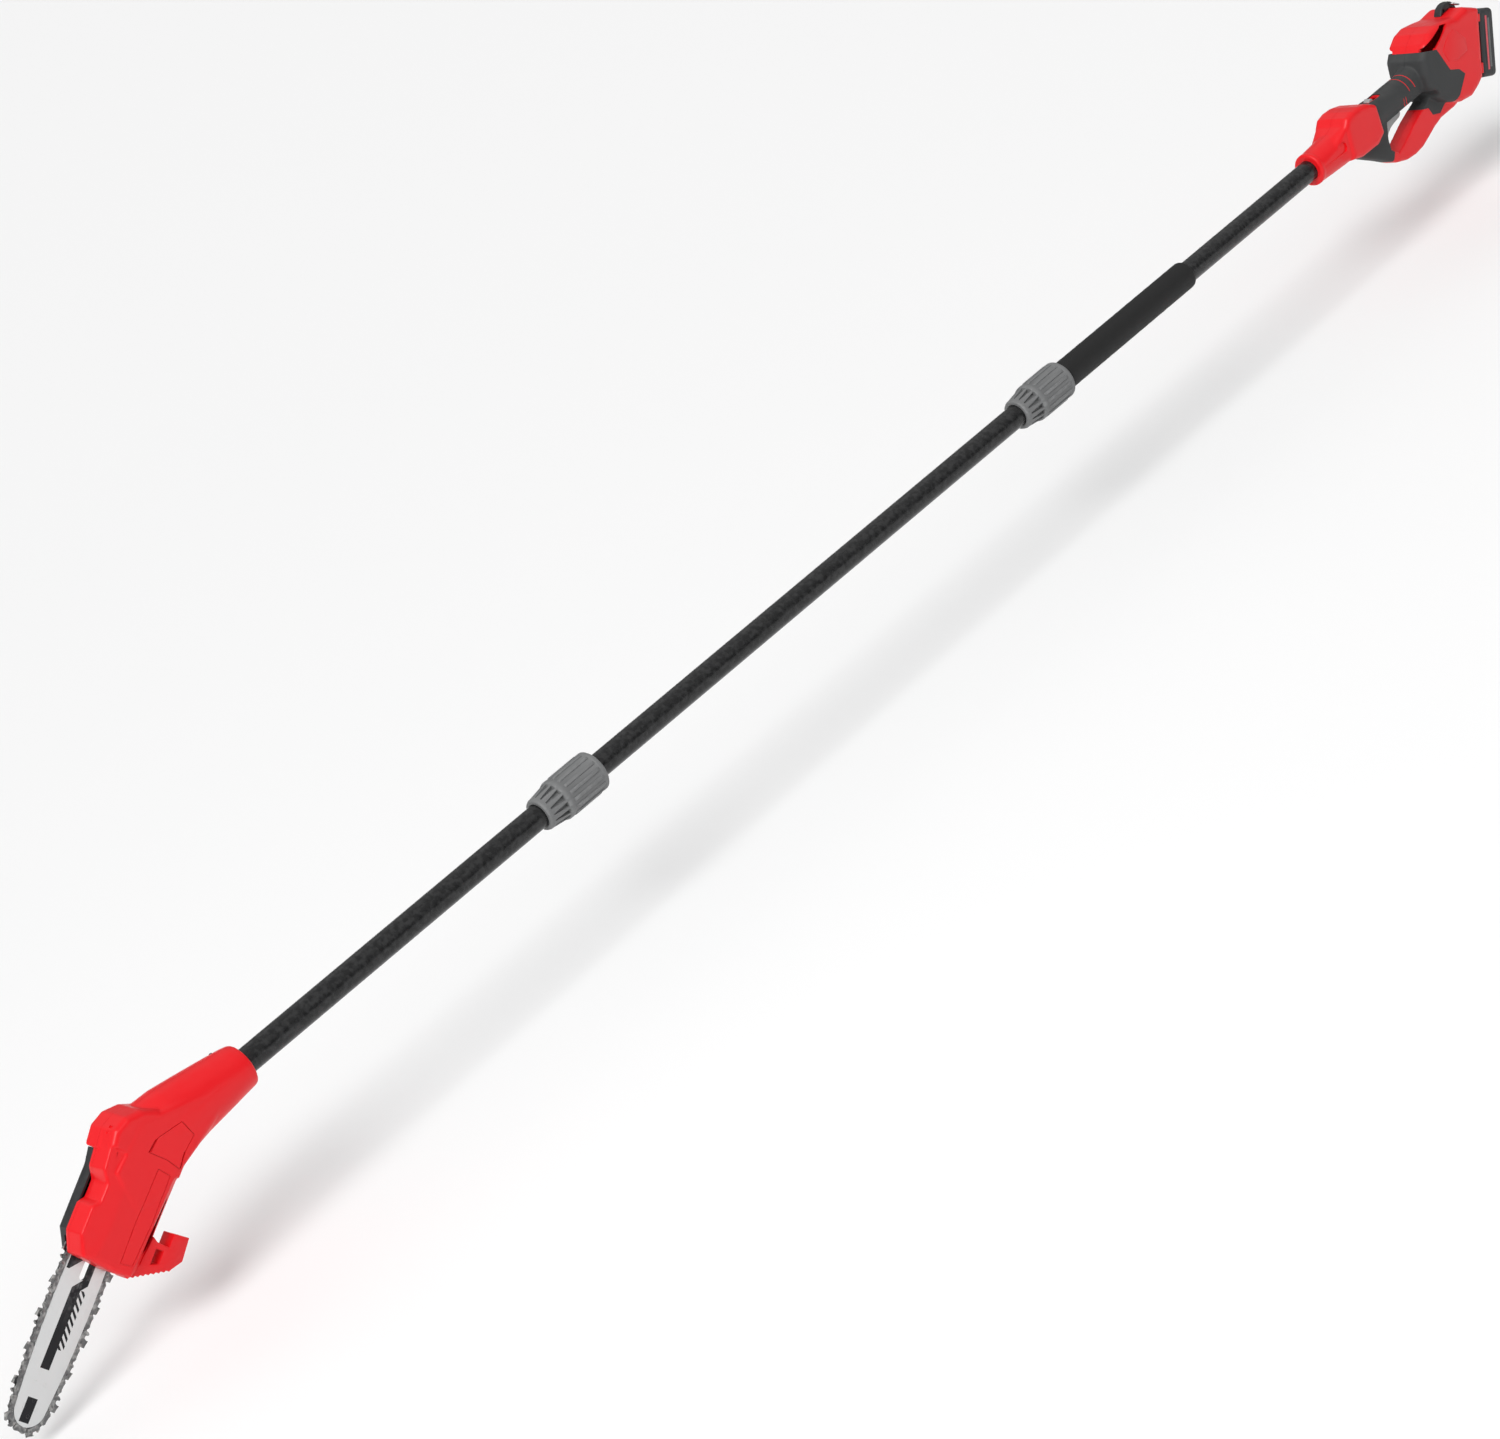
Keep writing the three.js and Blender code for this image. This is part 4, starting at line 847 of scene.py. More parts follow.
@shared_tree("Row pattern")
def row_pattern(name):
    """Copies of a piece in a straight row."""
    graph, enter = geometry_graph(name, [("Count", "Int", 4), ("Step", "Vector", (0.01, 0, 0))])
    points = graph.node("GeometryNodeMeshLine", {"Count": enter["Count"], "Offset": enter["Step"]})
    copies = graph.node(
        "GeometryNodeInstanceOnPoints", {"Points": points.outputs[0], "Instance": enter["Geometry"]}
    )
    return end_graph(graph, enter, copies.outputs[0])


@shared_tree("Point pattern")
def vertex_pattern(name):
    """A copy of a piece on every point of another object."""
    graph, enter = geometry_graph(name, [("Points", "Object", None)])
    points = graph.node("GeometryNodeObjectInfo", {"Object": enter["Points"]})
    copies = graph.node(
        "GeometryNodeInstanceOnPoints",
        {"Points": points.outputs["Geometry"], "Instance": enter["Geometry"]},
    )
    return end_graph(graph, enter, copies.outputs[0])


@shared_tree("Link pattern")
def link_pattern(name):
    """Every so many links of a chain, along a closed path in the plane of X and Z."""
    inputs = [("Path", "Object", None), ("Links", "Int", 70), ("First", "Int", 0), ("Step", "Int", 2)]
    graph, enter = geometry_graph(name, inputs)
    path = graph.node("GeometryNodeObjectInfo", {"Object": enter["Path"]}).outputs["Geometry"]
    curve = graph.node("GeometryNodeMeshToCurve", {"Mesh": path}).outputs[0]
    even = graph.node("GeometryNodeResampleCurve", {"Curve": curve, "Count": enter["Links"]}).outputs[0]
    index = graph.node("GeometryNodeInputIndex").outputs[0]
    turn = graph.math("FLOORED_MODULO", graph.math("SUBTRACT", index, enter["First"]), enter["Step"])
    chosen = graph.math("LESS_THAN", turn, 0.5)
    tangent = graph.node("GeometryNodeInputTangent").outputs[0]
    axes = graph.node("ShaderNodeSeparateXYZ", {0: tangent}).outputs
    angle = graph.math("ARCTAN2", graph.math("MULTIPLY", axes["Z"], -1.0), axes["X"])
    rotation = graph.node("FunctionNodeAxisAngleToRotation", {"Axis": (0, 1, 0), "Angle": angle})
    copies = graph.node(
        "GeometryNodeInstanceOnPoints",
        {
            "Points": even, "Selection": chosen, "Instance": enter["Geometry"],
            "Rotation": rotation.outputs[0],
        },
    )
    return end_graph(graph, enter, copies.outputs[0])


@shared_tree("Pipe")
def pipe(name):
    """A tube along X, swept round its axis."""
    inputs = [
        ("Radius", "Float", 0.016), ("Wall", "Float", 0.0016), ("Start", "Float", 0.0),
        ("End", "Float", 1.0), ("Sides", "Int", 96),
    ]
    graph, enter = geometry_graph(name, inputs)
    middle = graph.math("SUBTRACT", enter["Radius"], graph.math("MULTIPLY", enter["Wall"], 0.5))
    ring = graph.node("GeometryNodeCurvePrimitiveCircle", {"Resolution": enter["Sides"], "Radius": middle})
    run = graph.math("SUBTRACT", enter["End"], enter["Start"])
    wall = graph.node("GeometryNodeCurvePrimitiveQuadrilateral", {"Width": enter["Wall"], "Height": run})
    swept = graph.node(
        "GeometryNodeCurveToMesh", {"Curve": ring.outputs[0], "Profile Curve": wall.outputs[0]}
    )
    centre = graph.math("MULTIPLY", graph.math("ADD", enter["Start"], enter["End"]), 0.5)
    place = graph.node("ShaderNodeCombineXYZ", {"X": centre}).outputs[0]
    laid = graph.node(
        "GeometryNodeTransform",
        {"Geometry": swept.outputs[0], "Translation": place, "Rotation": (0, math.pi / 2, 0)},
    )
    return end_graph(graph, enter, laid.outputs[0])


def around_x(name, base, count, material):
    return grown(name, round_pattern(), {"Count": count, "Axis": (1, 0, 0)}, material, base)


def in_row(name, base, count, step, material):
    return grown(name, row_pattern(), {"Count": count, "Step": tuple(v * MM for v in step)}, material, base)


# ---- Pole -------------------------------------------------------------------------------------------------


def build_tubes(sizes, finish):
    for node, body in (("head_pole", "head"), ("extension_pole", "extension"), ("handle_pole", "handle")):
        x0, x1 = cad_span(node, 0)
        values = {
            "Radius": TUBE_R * MM, "Wall": sizes.tube_wall, "Start": x0 * MM, "End": x1 * MM, "Sides": 96,
        }
        made = grown(f"tube_{body}", pipe(), values, finish.get("tube"))
        face_outward(made.data)
        finish_piece(made, body, finish.get("tube"), [node])


COLLAR_LENGTH = 100
COLLAR_R = 28.3


def build_couplings(sizes, finish):
    rows = (
        ("front", FRONT_COLLAR_X, "head", "extension", "head_plug", "extension_socket"),
        ("rear", REAR_COLLAR_X, "extension", "handle", "extension_plug", "handle_socket"),
    )
    for side, x, front_body, rear_body, plug_node, socket_node in rows:
        end = x + COLLAR_LENGTH
        base = COLLAR_R - sizes.rib_height / MM
        collar = turned_x(f"collar_{side}", [
            (x, 20.2), (x + 0.8, 21.2), (x + 3.4, 22.4), (x + 4.6, 22.3), (x + 28, base - 1.2),
            (x + 33, base + 0.9), (x + 37, base + 1.1), (x + 39, base), (x + 93, base), (x + 94.5, base + 1),
            (x + 98.5, base + 0.9), (end, base - 0.7),
        ], sides=128)
        rib = prism("rib", [
            (x + 40, base - 2), (x + 40, base + 0.4), (x + 43, 28.2), (x + 89, 28.2), (x + 92.5, base + 0.4),
            (x + 92.5, base - 2),
        ], -2.1, 2.1, 0.7)
        ribs = around_x("ribs", rib, sizes.rib_count, finish.get("collar"))
        carve(collar, [ribs], "UNION")
        wedge = hull("wedge", [
            (x + 6.5, -1.3, 40), (x + 6.5, 1.3, 40), (x + 30, -4.3, 40), (x + 30, 4.3, 40),
            (x + 6.5, -1, 20.6), (x + 6.5, 1, 20.6), (x + 30, -3.4, 19.6), (x + 30, 3.4, 19.6),
        ])
        wedges = around_x("wedges", wedge, sizes.rib_count, finish.get("collar"))
        carve(collar, [wedges])
        carve(collar, [
            along_x("mouth", TUBE_R + 0.6, x - 1, end + 1),
            along_x("thread", 22.4, x + 33.6, end + 1, sides=96),
            along_x("seat", 24.7, end - 4, end + 1, sides=96),
        ])
        rounded(collar, 0.35)
        finish_piece(collar, f"{side}_collar", finish.get("collar"), [f"{side}_collar"], crease=50)
        ring = turned_x(f"collar_ring_{side}", [
            (end - 3.7, 24.4), (end - 0.3, 24.4), (end + 0.2, 24), (end + 0.2, 22.9), (end - 0.2, 22.4),
            (end - 3.7, 22.4),
        ], closed=True, sides=96)
        finish_piece(ring, f"{side}_collar_slide", finish.get("black"), [f"{side}_collar_ring"])
        build_joint_ends(x, side, front_body, rear_body, plug_node, socket_node, finish)


def build_joint_ends(x, side, front_body, rear_body, plug_node, socket_node, finish):
    """The keyed plug on the head's side of a coupling, and the threaded socket on the other."""
    split = x + 60
    tube_end = split - 26
    flange = tube_end + 4
    plug = turned_x(f"plug_{side}", [
        (tube_end - 26, 13.4), (tube_end - 25, 13.9), (tube_end, 13.9), (tube_end + FIT, 19),
        (tube_end + 0.8, 19.5), (flange - 0.5, 19.5), (flange, 19), (flange, 12), (split - 3, 12),
        (split - 1, 10),
    ], sides=72)
    carve(plug, [
        along_x("lead", LEAD_R, tube_end - 30, split + 1),
        around_x("flutes", block("flute", flange + 5, split + 2, -1.2, 1.2, 11, 14), 8, finish.get("black")),
        around_x("pins", along_x("pin", 1.1, split - 8, split + 2, z=6.5, sides=16), 3, finish.get("black")),
    ])
    finish_piece(plug, front_body, finish.get("black"), [plug_node])
    start = flange + FIT
    end = x + 98.5
    profile = [(start, 19.4), (start + 1, 20.4)]
    at = start + 5
    while at < end - 16:
        profile += [(at, 20.4), (at + 0.9, 21.8), (at + 1.9, 21.8), (at + 2.8, 20.4)]
        at += 4
    profile += [(end - 1, 20.4), (end, 19.6)]
    socket = turned_x(f"socket_{side}", profile, sides=96)
    carve(socket, [
        along_x("throat", 12.3, start - 1, split), along_x("clamp", TUBE_R + FIT, split - FIT, end + 1),
        block("key", start - 1, start + 12, -2.2, 2.2, 11, 15),
    ])
    finish_piece(socket, rear_body, finish.get("black"), [socket_node])


def build_foam(sizes, finish):
    x0, x1 = cad_span("foam_grip", 0)
    profile = [(x0, 16.9)]
    profile += [(x0 + 4 - 4 * math.cos(t), 16.8 + 4 * math.sin(t)) for t in (0.3, 0.7, 1.1, 1.57)]
    steps = 60
    for i in range(1, steps):
        at = x0 + 4 + (x1 - x0 - 9) * i / steps
        profile.append((at, 20.8 - 0.12 * math.sin(i * 1.7) * math.sin(i * 0.37)))
    profile += [(x1 - 5 + 5 * math.sin(t), 15.8 + 5 * math.cos(t)) for t in (0.0, 0.45, 0.9, 1.25)]
    profile += [(x1, 17.1), (x1 - 0.3, 16.2), (x0 + 0.3, 16.2)]
    foam = turned_x("foam_sleeve", profile, closed=True, sides=96)
    finish_piece(foam, "handle", finish.get("foam"), ["foam_grip"], crease=60)


# ---- Handle -----------------------------------------------------------------------------------------------


def blend(name, section, outline, half, place=None, outline_place=None):
    """The convex body between a rounded section and a flat plate's middle, to melt one into the other."""
    place = place or Matrix.Identity(4)
    outline_place = outline_place or Matrix.Identity(4)
    points = [place @ Vector(p) for p in superellipse(section, 48)]
    points += [outline_place @ Vector((x, y, z)) for x, z in outline for y in half]
    return hull(name, points)


def handle_core(depth):
    flank = [(-160, 38 - depth), (-132, 38 - depth), (-120, 30), (-120, -18), (-160, -20 + depth)]
    parts = [
        loft("nose", NOSE, depth), loft("grip", GRIP, depth),
        blend("flank", (NOSE_X + 40, 0, 20 - depth, 25 - depth, 2.2), flank, (depth - 29.5, 29.5 - depth)),
        prism("shoulder", inset(SHOULDER, depth), -SHOULDER_HALF + depth, SHOULDER_HALF - depth, 8),
        prism("rear", inset(REAR, depth), -REAR_HALF + depth, REAR_HALF - depth, 10),
    ]
    return carve(parts[0], parts[1:], "UNION")


def handle_solid(depth):
    guard = prism("guard", inset(GUARD, depth), -GUARD_HALF + depth, GUARD_HALF - depth, 5)
    core = carve(handle_core(depth), [guard], "UNION")
    return carve(core, [prism("window", inset(WINDOW, -depth), -60, 60)])


def battery_block(name, *span):
    return block(name, *span, place=TO_BATTERY)


def trigger_openings():
    """The slot and the pin's seat, which are cut in both the handle's shell and its soft skin."""
    return [
        block("trigger_port", -67, -13, -6.2, 6.2, -40, -6),
        across_y("pin_seat", *TRIGGER_PIN, 3.2, -9.4, 9.4),
    ]


def split_piece(made, name, body, material, nodes):
    """The left and right halves of a moulding, each standing for its CAD node."""
    right = copy_of(made, f"{name}_right")
    carve(right, [right_half()], "INTERSECT")
    carve(made, [left_half()], "INTERSECT")
    made.name = f"{name}_left"
    finish_piece(made, body, material, [nodes[0]])
    finish_piece(right, body, material, [nodes[1]])


def build_handle(sizes, finish):
    def inside_line(name, distance):
        return prism(name, inset(OVERMOULD, distance), -PAST, PAST)

    body = melted(handle_solid(0), sizes.skin_grain, MELT_STEPS)
    skin = copy_of(body, "grip_skin")
    carve(skin, [inside_line("zone", 0.2)], "INTERSECT")
    lock_port = block("lock_port", -86, -53, -9, 9, 14, PAST)
    carve(skin, [handle_solid(HANDLE_SKIN), lock_port, *trigger_openings()])
    nodes = ["grip_overmould_left", "grip_overmould_right"]
    split_piece(skin, "grip_skin", "handle", finish.get("overmould"), nodes)

    carve(body, [inside_line("outside", 0)])
    under = carve(handle_solid(HANDLE_SKIN + FIT), [inside_line("inside", -1)], "INTERSECT")
    carve(body, [under], "UNION")
    clamp_end = NOSE_X + TUBE_IN_HANDLE + 4
    hollow = handle_core(HANDLE_WALL)
    carve(hollow, [inside_line("skinned", -HANDLE_WALL)])
    carve(hollow, [handle_core(HANDLE_WALL + HANDLE_SKIN + FIT)], "UNION")
    carve(hollow, [half_space("behind", 0, clamp_end, FAR)], "INTERSECT")
    carve(hollow, [
        block("bulkhead", -62.6, -60.3, -30, 30, 2, 40), block("bulkhead", -19.7, -17.4, -30, 30, 2, 40),
        battery_block("dock_wall", -11, 0, -33, 33, -60, 90),
    ])
    cutters = [
        hollow, along_x("bore", TUBE_R + FIT, NOSE_X - 5, NOSE_X + TUBE_IN_HANDLE + FIT),
        along_x("lead", LEAD_R, NOSE_X, clamp_end + 1), block("lock_slot", -81, -57, -6, 6, 14, PAST),
        *trigger_openings(), battery_block("dock", -8, 20, -30, 30, -45, 90),
        battery_block("terminals", -14, -7, -10.3, 10.3, -37.3, -18.7),
    ]
    details = []
    for side in (-1, 1):
        cutters.append(prism("vent", VENT, *side_span(side, 24.5, PAST), 1.5))
        cutters.append(prism("label_recess", LABEL, *side_span(side, 24.7, PAST)))
        details.append(prism("hexagon", HEXAGON, *side_span(side, 30, 37.5), 0.8))
        details.append(prism("ledge", LEDGE, *side_span(side, 24, 27.5), 0.8))
    for z0, z1 in ((-44, -28), (34, 46)):
        for side in (-1, 1):
            flange = battery_block("flange", -6, 0.4, *side_span(side, 31, 35.5), z0, z1)
            details.append(rounded(flange, 1.2))
    heads = mesh_object("screw_places", [(x, y - 3.4, z) for x, y, z in HANDLE_SCREWS], [])
    wells = [across_y("well", x, z, SCREW_WELL_R, y - 5.5, PAST) for x, y, z in HANDLE_SCREWS]
    carve(body, details, "UNION")
    carve(body, cutters)
    right = copy_of(body, "handle_shell_right")
    carve(right, [right_half()], "INTERSECT")
    carve(right, wells)
    carve(body, [left_half()], "INTERSECT")
    body.name = "handle_shell_left"
    finish_piece(body, "handle", finish.get("red"), ["handle_shell_left"])
    finish_piece(right, "handle", finish.get("red"), ["handle_shell_right"])
    screw_set("handle_screws", heads, "handle", sizes, finish)


def screw_set(name, heads, body, sizes, finish):
    """Star-recess screw heads at the points of an object, facing +Y."""
    radius = sizes.screw_radius / MM
    head = turned_y("screw", [
        (-4, radius * 0.45), (-1.2, radius * 0.45), (-1.2, radius * 0.94), (-0.8, radius), (0.6, radius),
        (1.2, radius * 0.9), (1.6, radius * 0.55), (1.7, 0.3),
    ], sides=36)
    star = []
    for i in range(36):
        angle = 2 * math.pi * i / 36
        reach = radius * (0.42 + 0.09 * math.cos(6 * angle))
        star.append((reach * math.cos(angle), reach * math.sin(angle)))
    carve(head, [prism("recess", star, 0.2, 4)])
    tree = vertex_pattern()
    made = grown(name, tree, {"Points": heads}, finish.get("dark_steel"), head)
    remove(heads)
    finish_piece(made, body, finish.get("dark_steel"))


def build_controls(sizes, finish):
    lever = [
        (-64, -4), (-64.4, -18), (-66, -35), (-65.3, -39.5), (-62.6, -41.6), (-58, -38.4), (-53.5, -35),
        (-49, -32.4), (-43.5, -30.6), (-38, -29.4), (-30, -28.1), (-22, -26.8), (-18.6, -25), (-17, -22.6),
        (-15.6, -18), (-15, -13), (-15, -6),
    ]
    trigger = prism("trigger_lever", lever, -5.6, 5.6, 2.0, 5)
    carve(trigger, [across_y("pin", *TRIGGER_PIN, 2.6, -8.8, 8.8)], "UNION")
    ridge = capsule("ridge", (-56, -9, -38.6), (-56, 9, -38.6), 0.7)
    ridges = in_row("ridges", ridge, 4, (4.4, 0, 2.25), finish.get("pale"))
    carve(trigger, [ridges])
    finish_piece(rounded(trigger, 0.3, 50), "trigger", finish.get("pale"), ["trigger"], crease=50)

    line = [(-80.4, 17), (-80.4, 24.5), (-77.5, 29), (-74.5, 30.2), (-69.5, 27.4), (-68, 25), (-68, 17)]
    button = prism("lockoff", line, -5.4, 5.4, 1.2)
    carve(button, [block("tongue", -78, -64, -4, 4, 14.5, 18)], "UNION")
    groove = capsule("groove", (-79.5, -7, 29.4), (-79.5, 7, 29.4), 0.75)
    grooves = in_row("grooves", groove, 5, (2.6, 0, 0.1), finish.get("pale"))
    carve(button, [grooves])
    finish_piece(button, "lockoff", finish.get("pale"), ["lockoff_button"])


def build_strap_point(sizes, finish):
    hump = [
        (140, 61.8), (143, 66.4), (146, 69.8), (150.5, 72.4), (156, 74), (163, 74.3), (170, 73.2),
        (174.6, 70.8), (178, 66.8), (180.6, 61.8), (182, 57), (168, 63.9),
    ]
    bracket = prism("strap_bracket", hump, -7, 7, 2.2, 4)
    hollow = capsule("hollow", (150, -8, 66.5), (150, 8, 66.5), 2.6)
    carve(bracket, [across_y("bore", 171, 68.6, 2.1, -30, 30), hollow])
    finish_piece(bracket, "handle", finish.get("black"), ["hang_bracket"])
    corners = [Vector(p) for p in ((171, -11.5, 68.6), (171, 11.5, 68.6), (191, 7, 58.5), (191, -7, 58.5))]
    path = []
    for i, corner in enumerate(corners):
        before = (corners[i - 1] - corner).normalized() * 3.2
        after = (corners[(i + 1) % 4] - corner).normalized() * 3.2
        path += [corner + before * (1 - t) ** 2 + after * t ** 2 for t in (0, 0.2, 0.4, 0.6, 0.8, 1)]
    normal = (corners[1] - corners[0]).cross(corners[2] - corners[1]).normalized()
    rings = []
    for i, point in enumerate(path):
        along = (path[(i + 1) % len(path)] - path[i - 1]).normalized()
        aside = normal.cross(along)
        rings.append([point + 1.5 * (math.cos(a) * normal + math.sin(a) * aside)
                      for a in (2 * math.pi * k / 16 for k in range(16))])
    ring = mesh_object("strap_ring_wire", *skin(rings, closed=True))
    finish_piece(ring, "strap_ring", finish.get("steel"), ["strap_ring"], crease=60)


# ---- Battery ----------------------------------------------------------------------------------------------


def rounded_box(name, x0, x1, y0, y1, z0, z1, corner, edge, place=None):
    """A box whose long corners and whose rim are both rounded."""
    outline = []
    for cy, cz, start in ((y1, z1, 0), (y0, z1, 90), (y0, z0, 180), (y1, z0, 270)):
        sy, sz = (1 if cy == y1 else -1), (1 if cz == z1 else -1)
        for k in range(7):
            angle = math.radians(start + 15 * k)
            y, z = corner * math.cos(angle), corner * math.sin(angle)
            outline.append((cy - sy * corner + y, cz - sz * corner + z))
    turn = Matrix(((0, 1, 0, 0), (1, 0, 0, 0), (0, 0, 1, 0), (0, 0, 0, 1)))
    return prism(name, outline, x0, x1, edge, 4, place=(place or Matrix.Identity(4)) @ turn)


def build_battery(sizes, finish):
    front, rear, split = 0.6, 33, 22
    low, high, half = -51, 53, 36
    wall = 3
    shell = rounded_box("pack", front, rear, -half, half, low, high, 8, 3.5, TO_BATTERY)
    hollow = rounded_box(
        "pack_hollow", front + wall, rear - wall, -half + wall, half - wall, low + wall, high - wall, 5, 0.5,
        TO_BATTERY,
    )
    lid = copy_of(shell, "battery_lid_shell")
    carve(shell, [half_block("case_side", -50, split)], "INTERSECT")
    carve(shell, [battery_block("tongue", -6.5, front + 2, -26, 26, low + 10, high - 6)], "UNION")
    slots = [battery_block("slot", -7, -1.5, -15, 15, low + 9, low + 40), copy_of(hollow, "hollow_copy")]
    for y in (-26.5, 24.5):
        slots.append(battery_block("rail", -4, -1, y, y + 2, low, high))
    grip = capsule("finger_groove", (8, -half - 1.6, -30), (8, -half - 1.6, 34), 2.4, TO_BATTERY)
    slots += [in_row("finger_grooves", grip, 2, (0, 2 * half + 3.2, 0), finish.get("battery"))]
    carve(shell, slots)
    finish_piece(shell, "battery", finish.get("battery"), ["battery_case"])

    carve(lid, [half_block("lid_side", split + FIT, 99)], "INTERSECT")
    carve(lid, [hollow])
    carve(lid, [battery_block("latch_frame", rear - 8.5, rear - 2, -17, 17, 32, 50)], "UNION")
    panel = rounded_box("recess", rear - 1, rear + 5, -26, 26, -40, 26, 5, 0.2, TO_BATTERY)
    carve(lid, [battery_block("latch_port", rear - 7.5, rear + 9, -15, 15, 34, 48), panel])
    rib = capsule("lid_rib", (rear - 1.2, -20, -34), (rear - 1.2, 20, -34), 1.1, TO_BATTERY)
    step = tuple(TO_BATTERY.to_3x3() @ Vector((0, 0, 7)))
    carve(lid, [in_row("lid_ribs", rib, 9, step, finish.get("battery"))], "UNION")
    finish_piece(lid, "battery", finish.get("battery"), ["battery_lid"])

    latch = rounded_box("latch_button", rear - 4, rear + 1, -14.5, 14.5, 34.5, 47.5, 3, 1.2, TO_BATTERY)
    notch = capsule("latch_groove", (rear + 1.4, -10, 37.5), (rear + 1.4, 10, 37.5), 0.9, TO_BATTERY)
    step = tuple(TO_BATTERY.to_3x3() @ Vector((0, 0, 2.4)))
    carve(latch, [in_row("latch_grooves", notch, 4, step, finish.get("battery"))])
    finish_piece(latch, "battery_latch", finish.get("overmould"), ["battery_latch"])

    for side, label in ((-1, "left"), (1, "right")):
        across = side_span(side, half - 0.6, half + 0.7)
        stripe = battery_block(f"battery_stripe_{label}", 11.5, 15.5, *across, -40, 42)
        finish_piece(rounded(stripe, 0.5), "battery", finish.get("stripe"))
        plate = battery_block(f"battery_panel_{label}", 17, 21.5, *across, -36, 38)
        finish_piece(rounded(plate, 0.5), "battery", finish.get("panel"))
    blade = battery_block("blade", -11.8, -2, -7.6, -6.8, low + 15.5, low + 30.5)
    blades = in_row("terminal_blades", blade, 4, (0, 4.8, 0), finish.get("steel"))
    finish_piece(blades, "handle", finish.get("steel"))


def half_block(name, x0, x1):
    return battery_block(name, x0, x1, -99, 99, -99, 99)


# ---- Saw head ---------------------------------------------------------------------------------------------


def head_parts(depth):
    inner_side = PLATE_TO + HEAD_CHAMFER
    body = prism("body", inset(BODY, depth), -HEAD_LEFT + depth, inner_side, HEAD_CHAMFER, place=TO_BAR)
    elbow = prism("elbow", inset(ELBOW_RIGHT, depth), -10, HEAD_RIGHT - depth, HEAD_CHAMFER, place=TO_BAR)
    return loft("neck", NECK, depth, place=TO_HEAD), body, elbow


def head_hook():
    """The branch hook under the head, with the bumper's spikes along its front edge."""
    line = list(HOOK)
    dx, dz = (HOOK_BASE[0][0] - HOOK_TOE[0]) / SPIKES, (HOOK_BASE[0][1] - HOOK_TOE[1]) / SPIKES
    size = math.hypot(dx, dz)
    for i in range(SPIKES):
        x, z = HOOK_TOE[0] + dx * i, HOOK_TOE[1] + dz * i
        line.append((x, z))
        line.append((x + dx / 2 - dz / size * SPIKE_DEPTH, z + dz / 2 + dx / size * SPIKE_DEPTH))
    hook = prism("hook", line + HOOK_BASE, -25, -3, place=TO_BAR)
    carve(hook, [prism("hook_window", HOOK_WINDOW, -PAST, PAST, place=TO_BAR)])
    return rounded(hook, 0.8, 25)


def face_cuts():
    """Wedges that slope the front of the head's left face inward, above and below its middle ridge."""
    upper = hull("upper_slope", [
        (-5, -31, 13), (-76, -31, 8), (-140, -31, 17), (-5, -25, 56), (-76, -25, 52), (-140, -25, 50),
        (-5, -45, 60), (-140, -45, 60), (-5, -45, 10), (-140, -45, 10),
    ], TO_BAR)
    lower = hull("lower_slope", [
        (-9, -31, -38), (-68, -31, -36), (-140, -31, -31), (-9, -18, -53), (-68, -18, -53), (-140, -18, -50),
        (-9, -45, -60), (-140, -45, -60), (-9, -45, -36), (-140, -45, -30),
    ], TO_BAR)
    return [upper, lower]


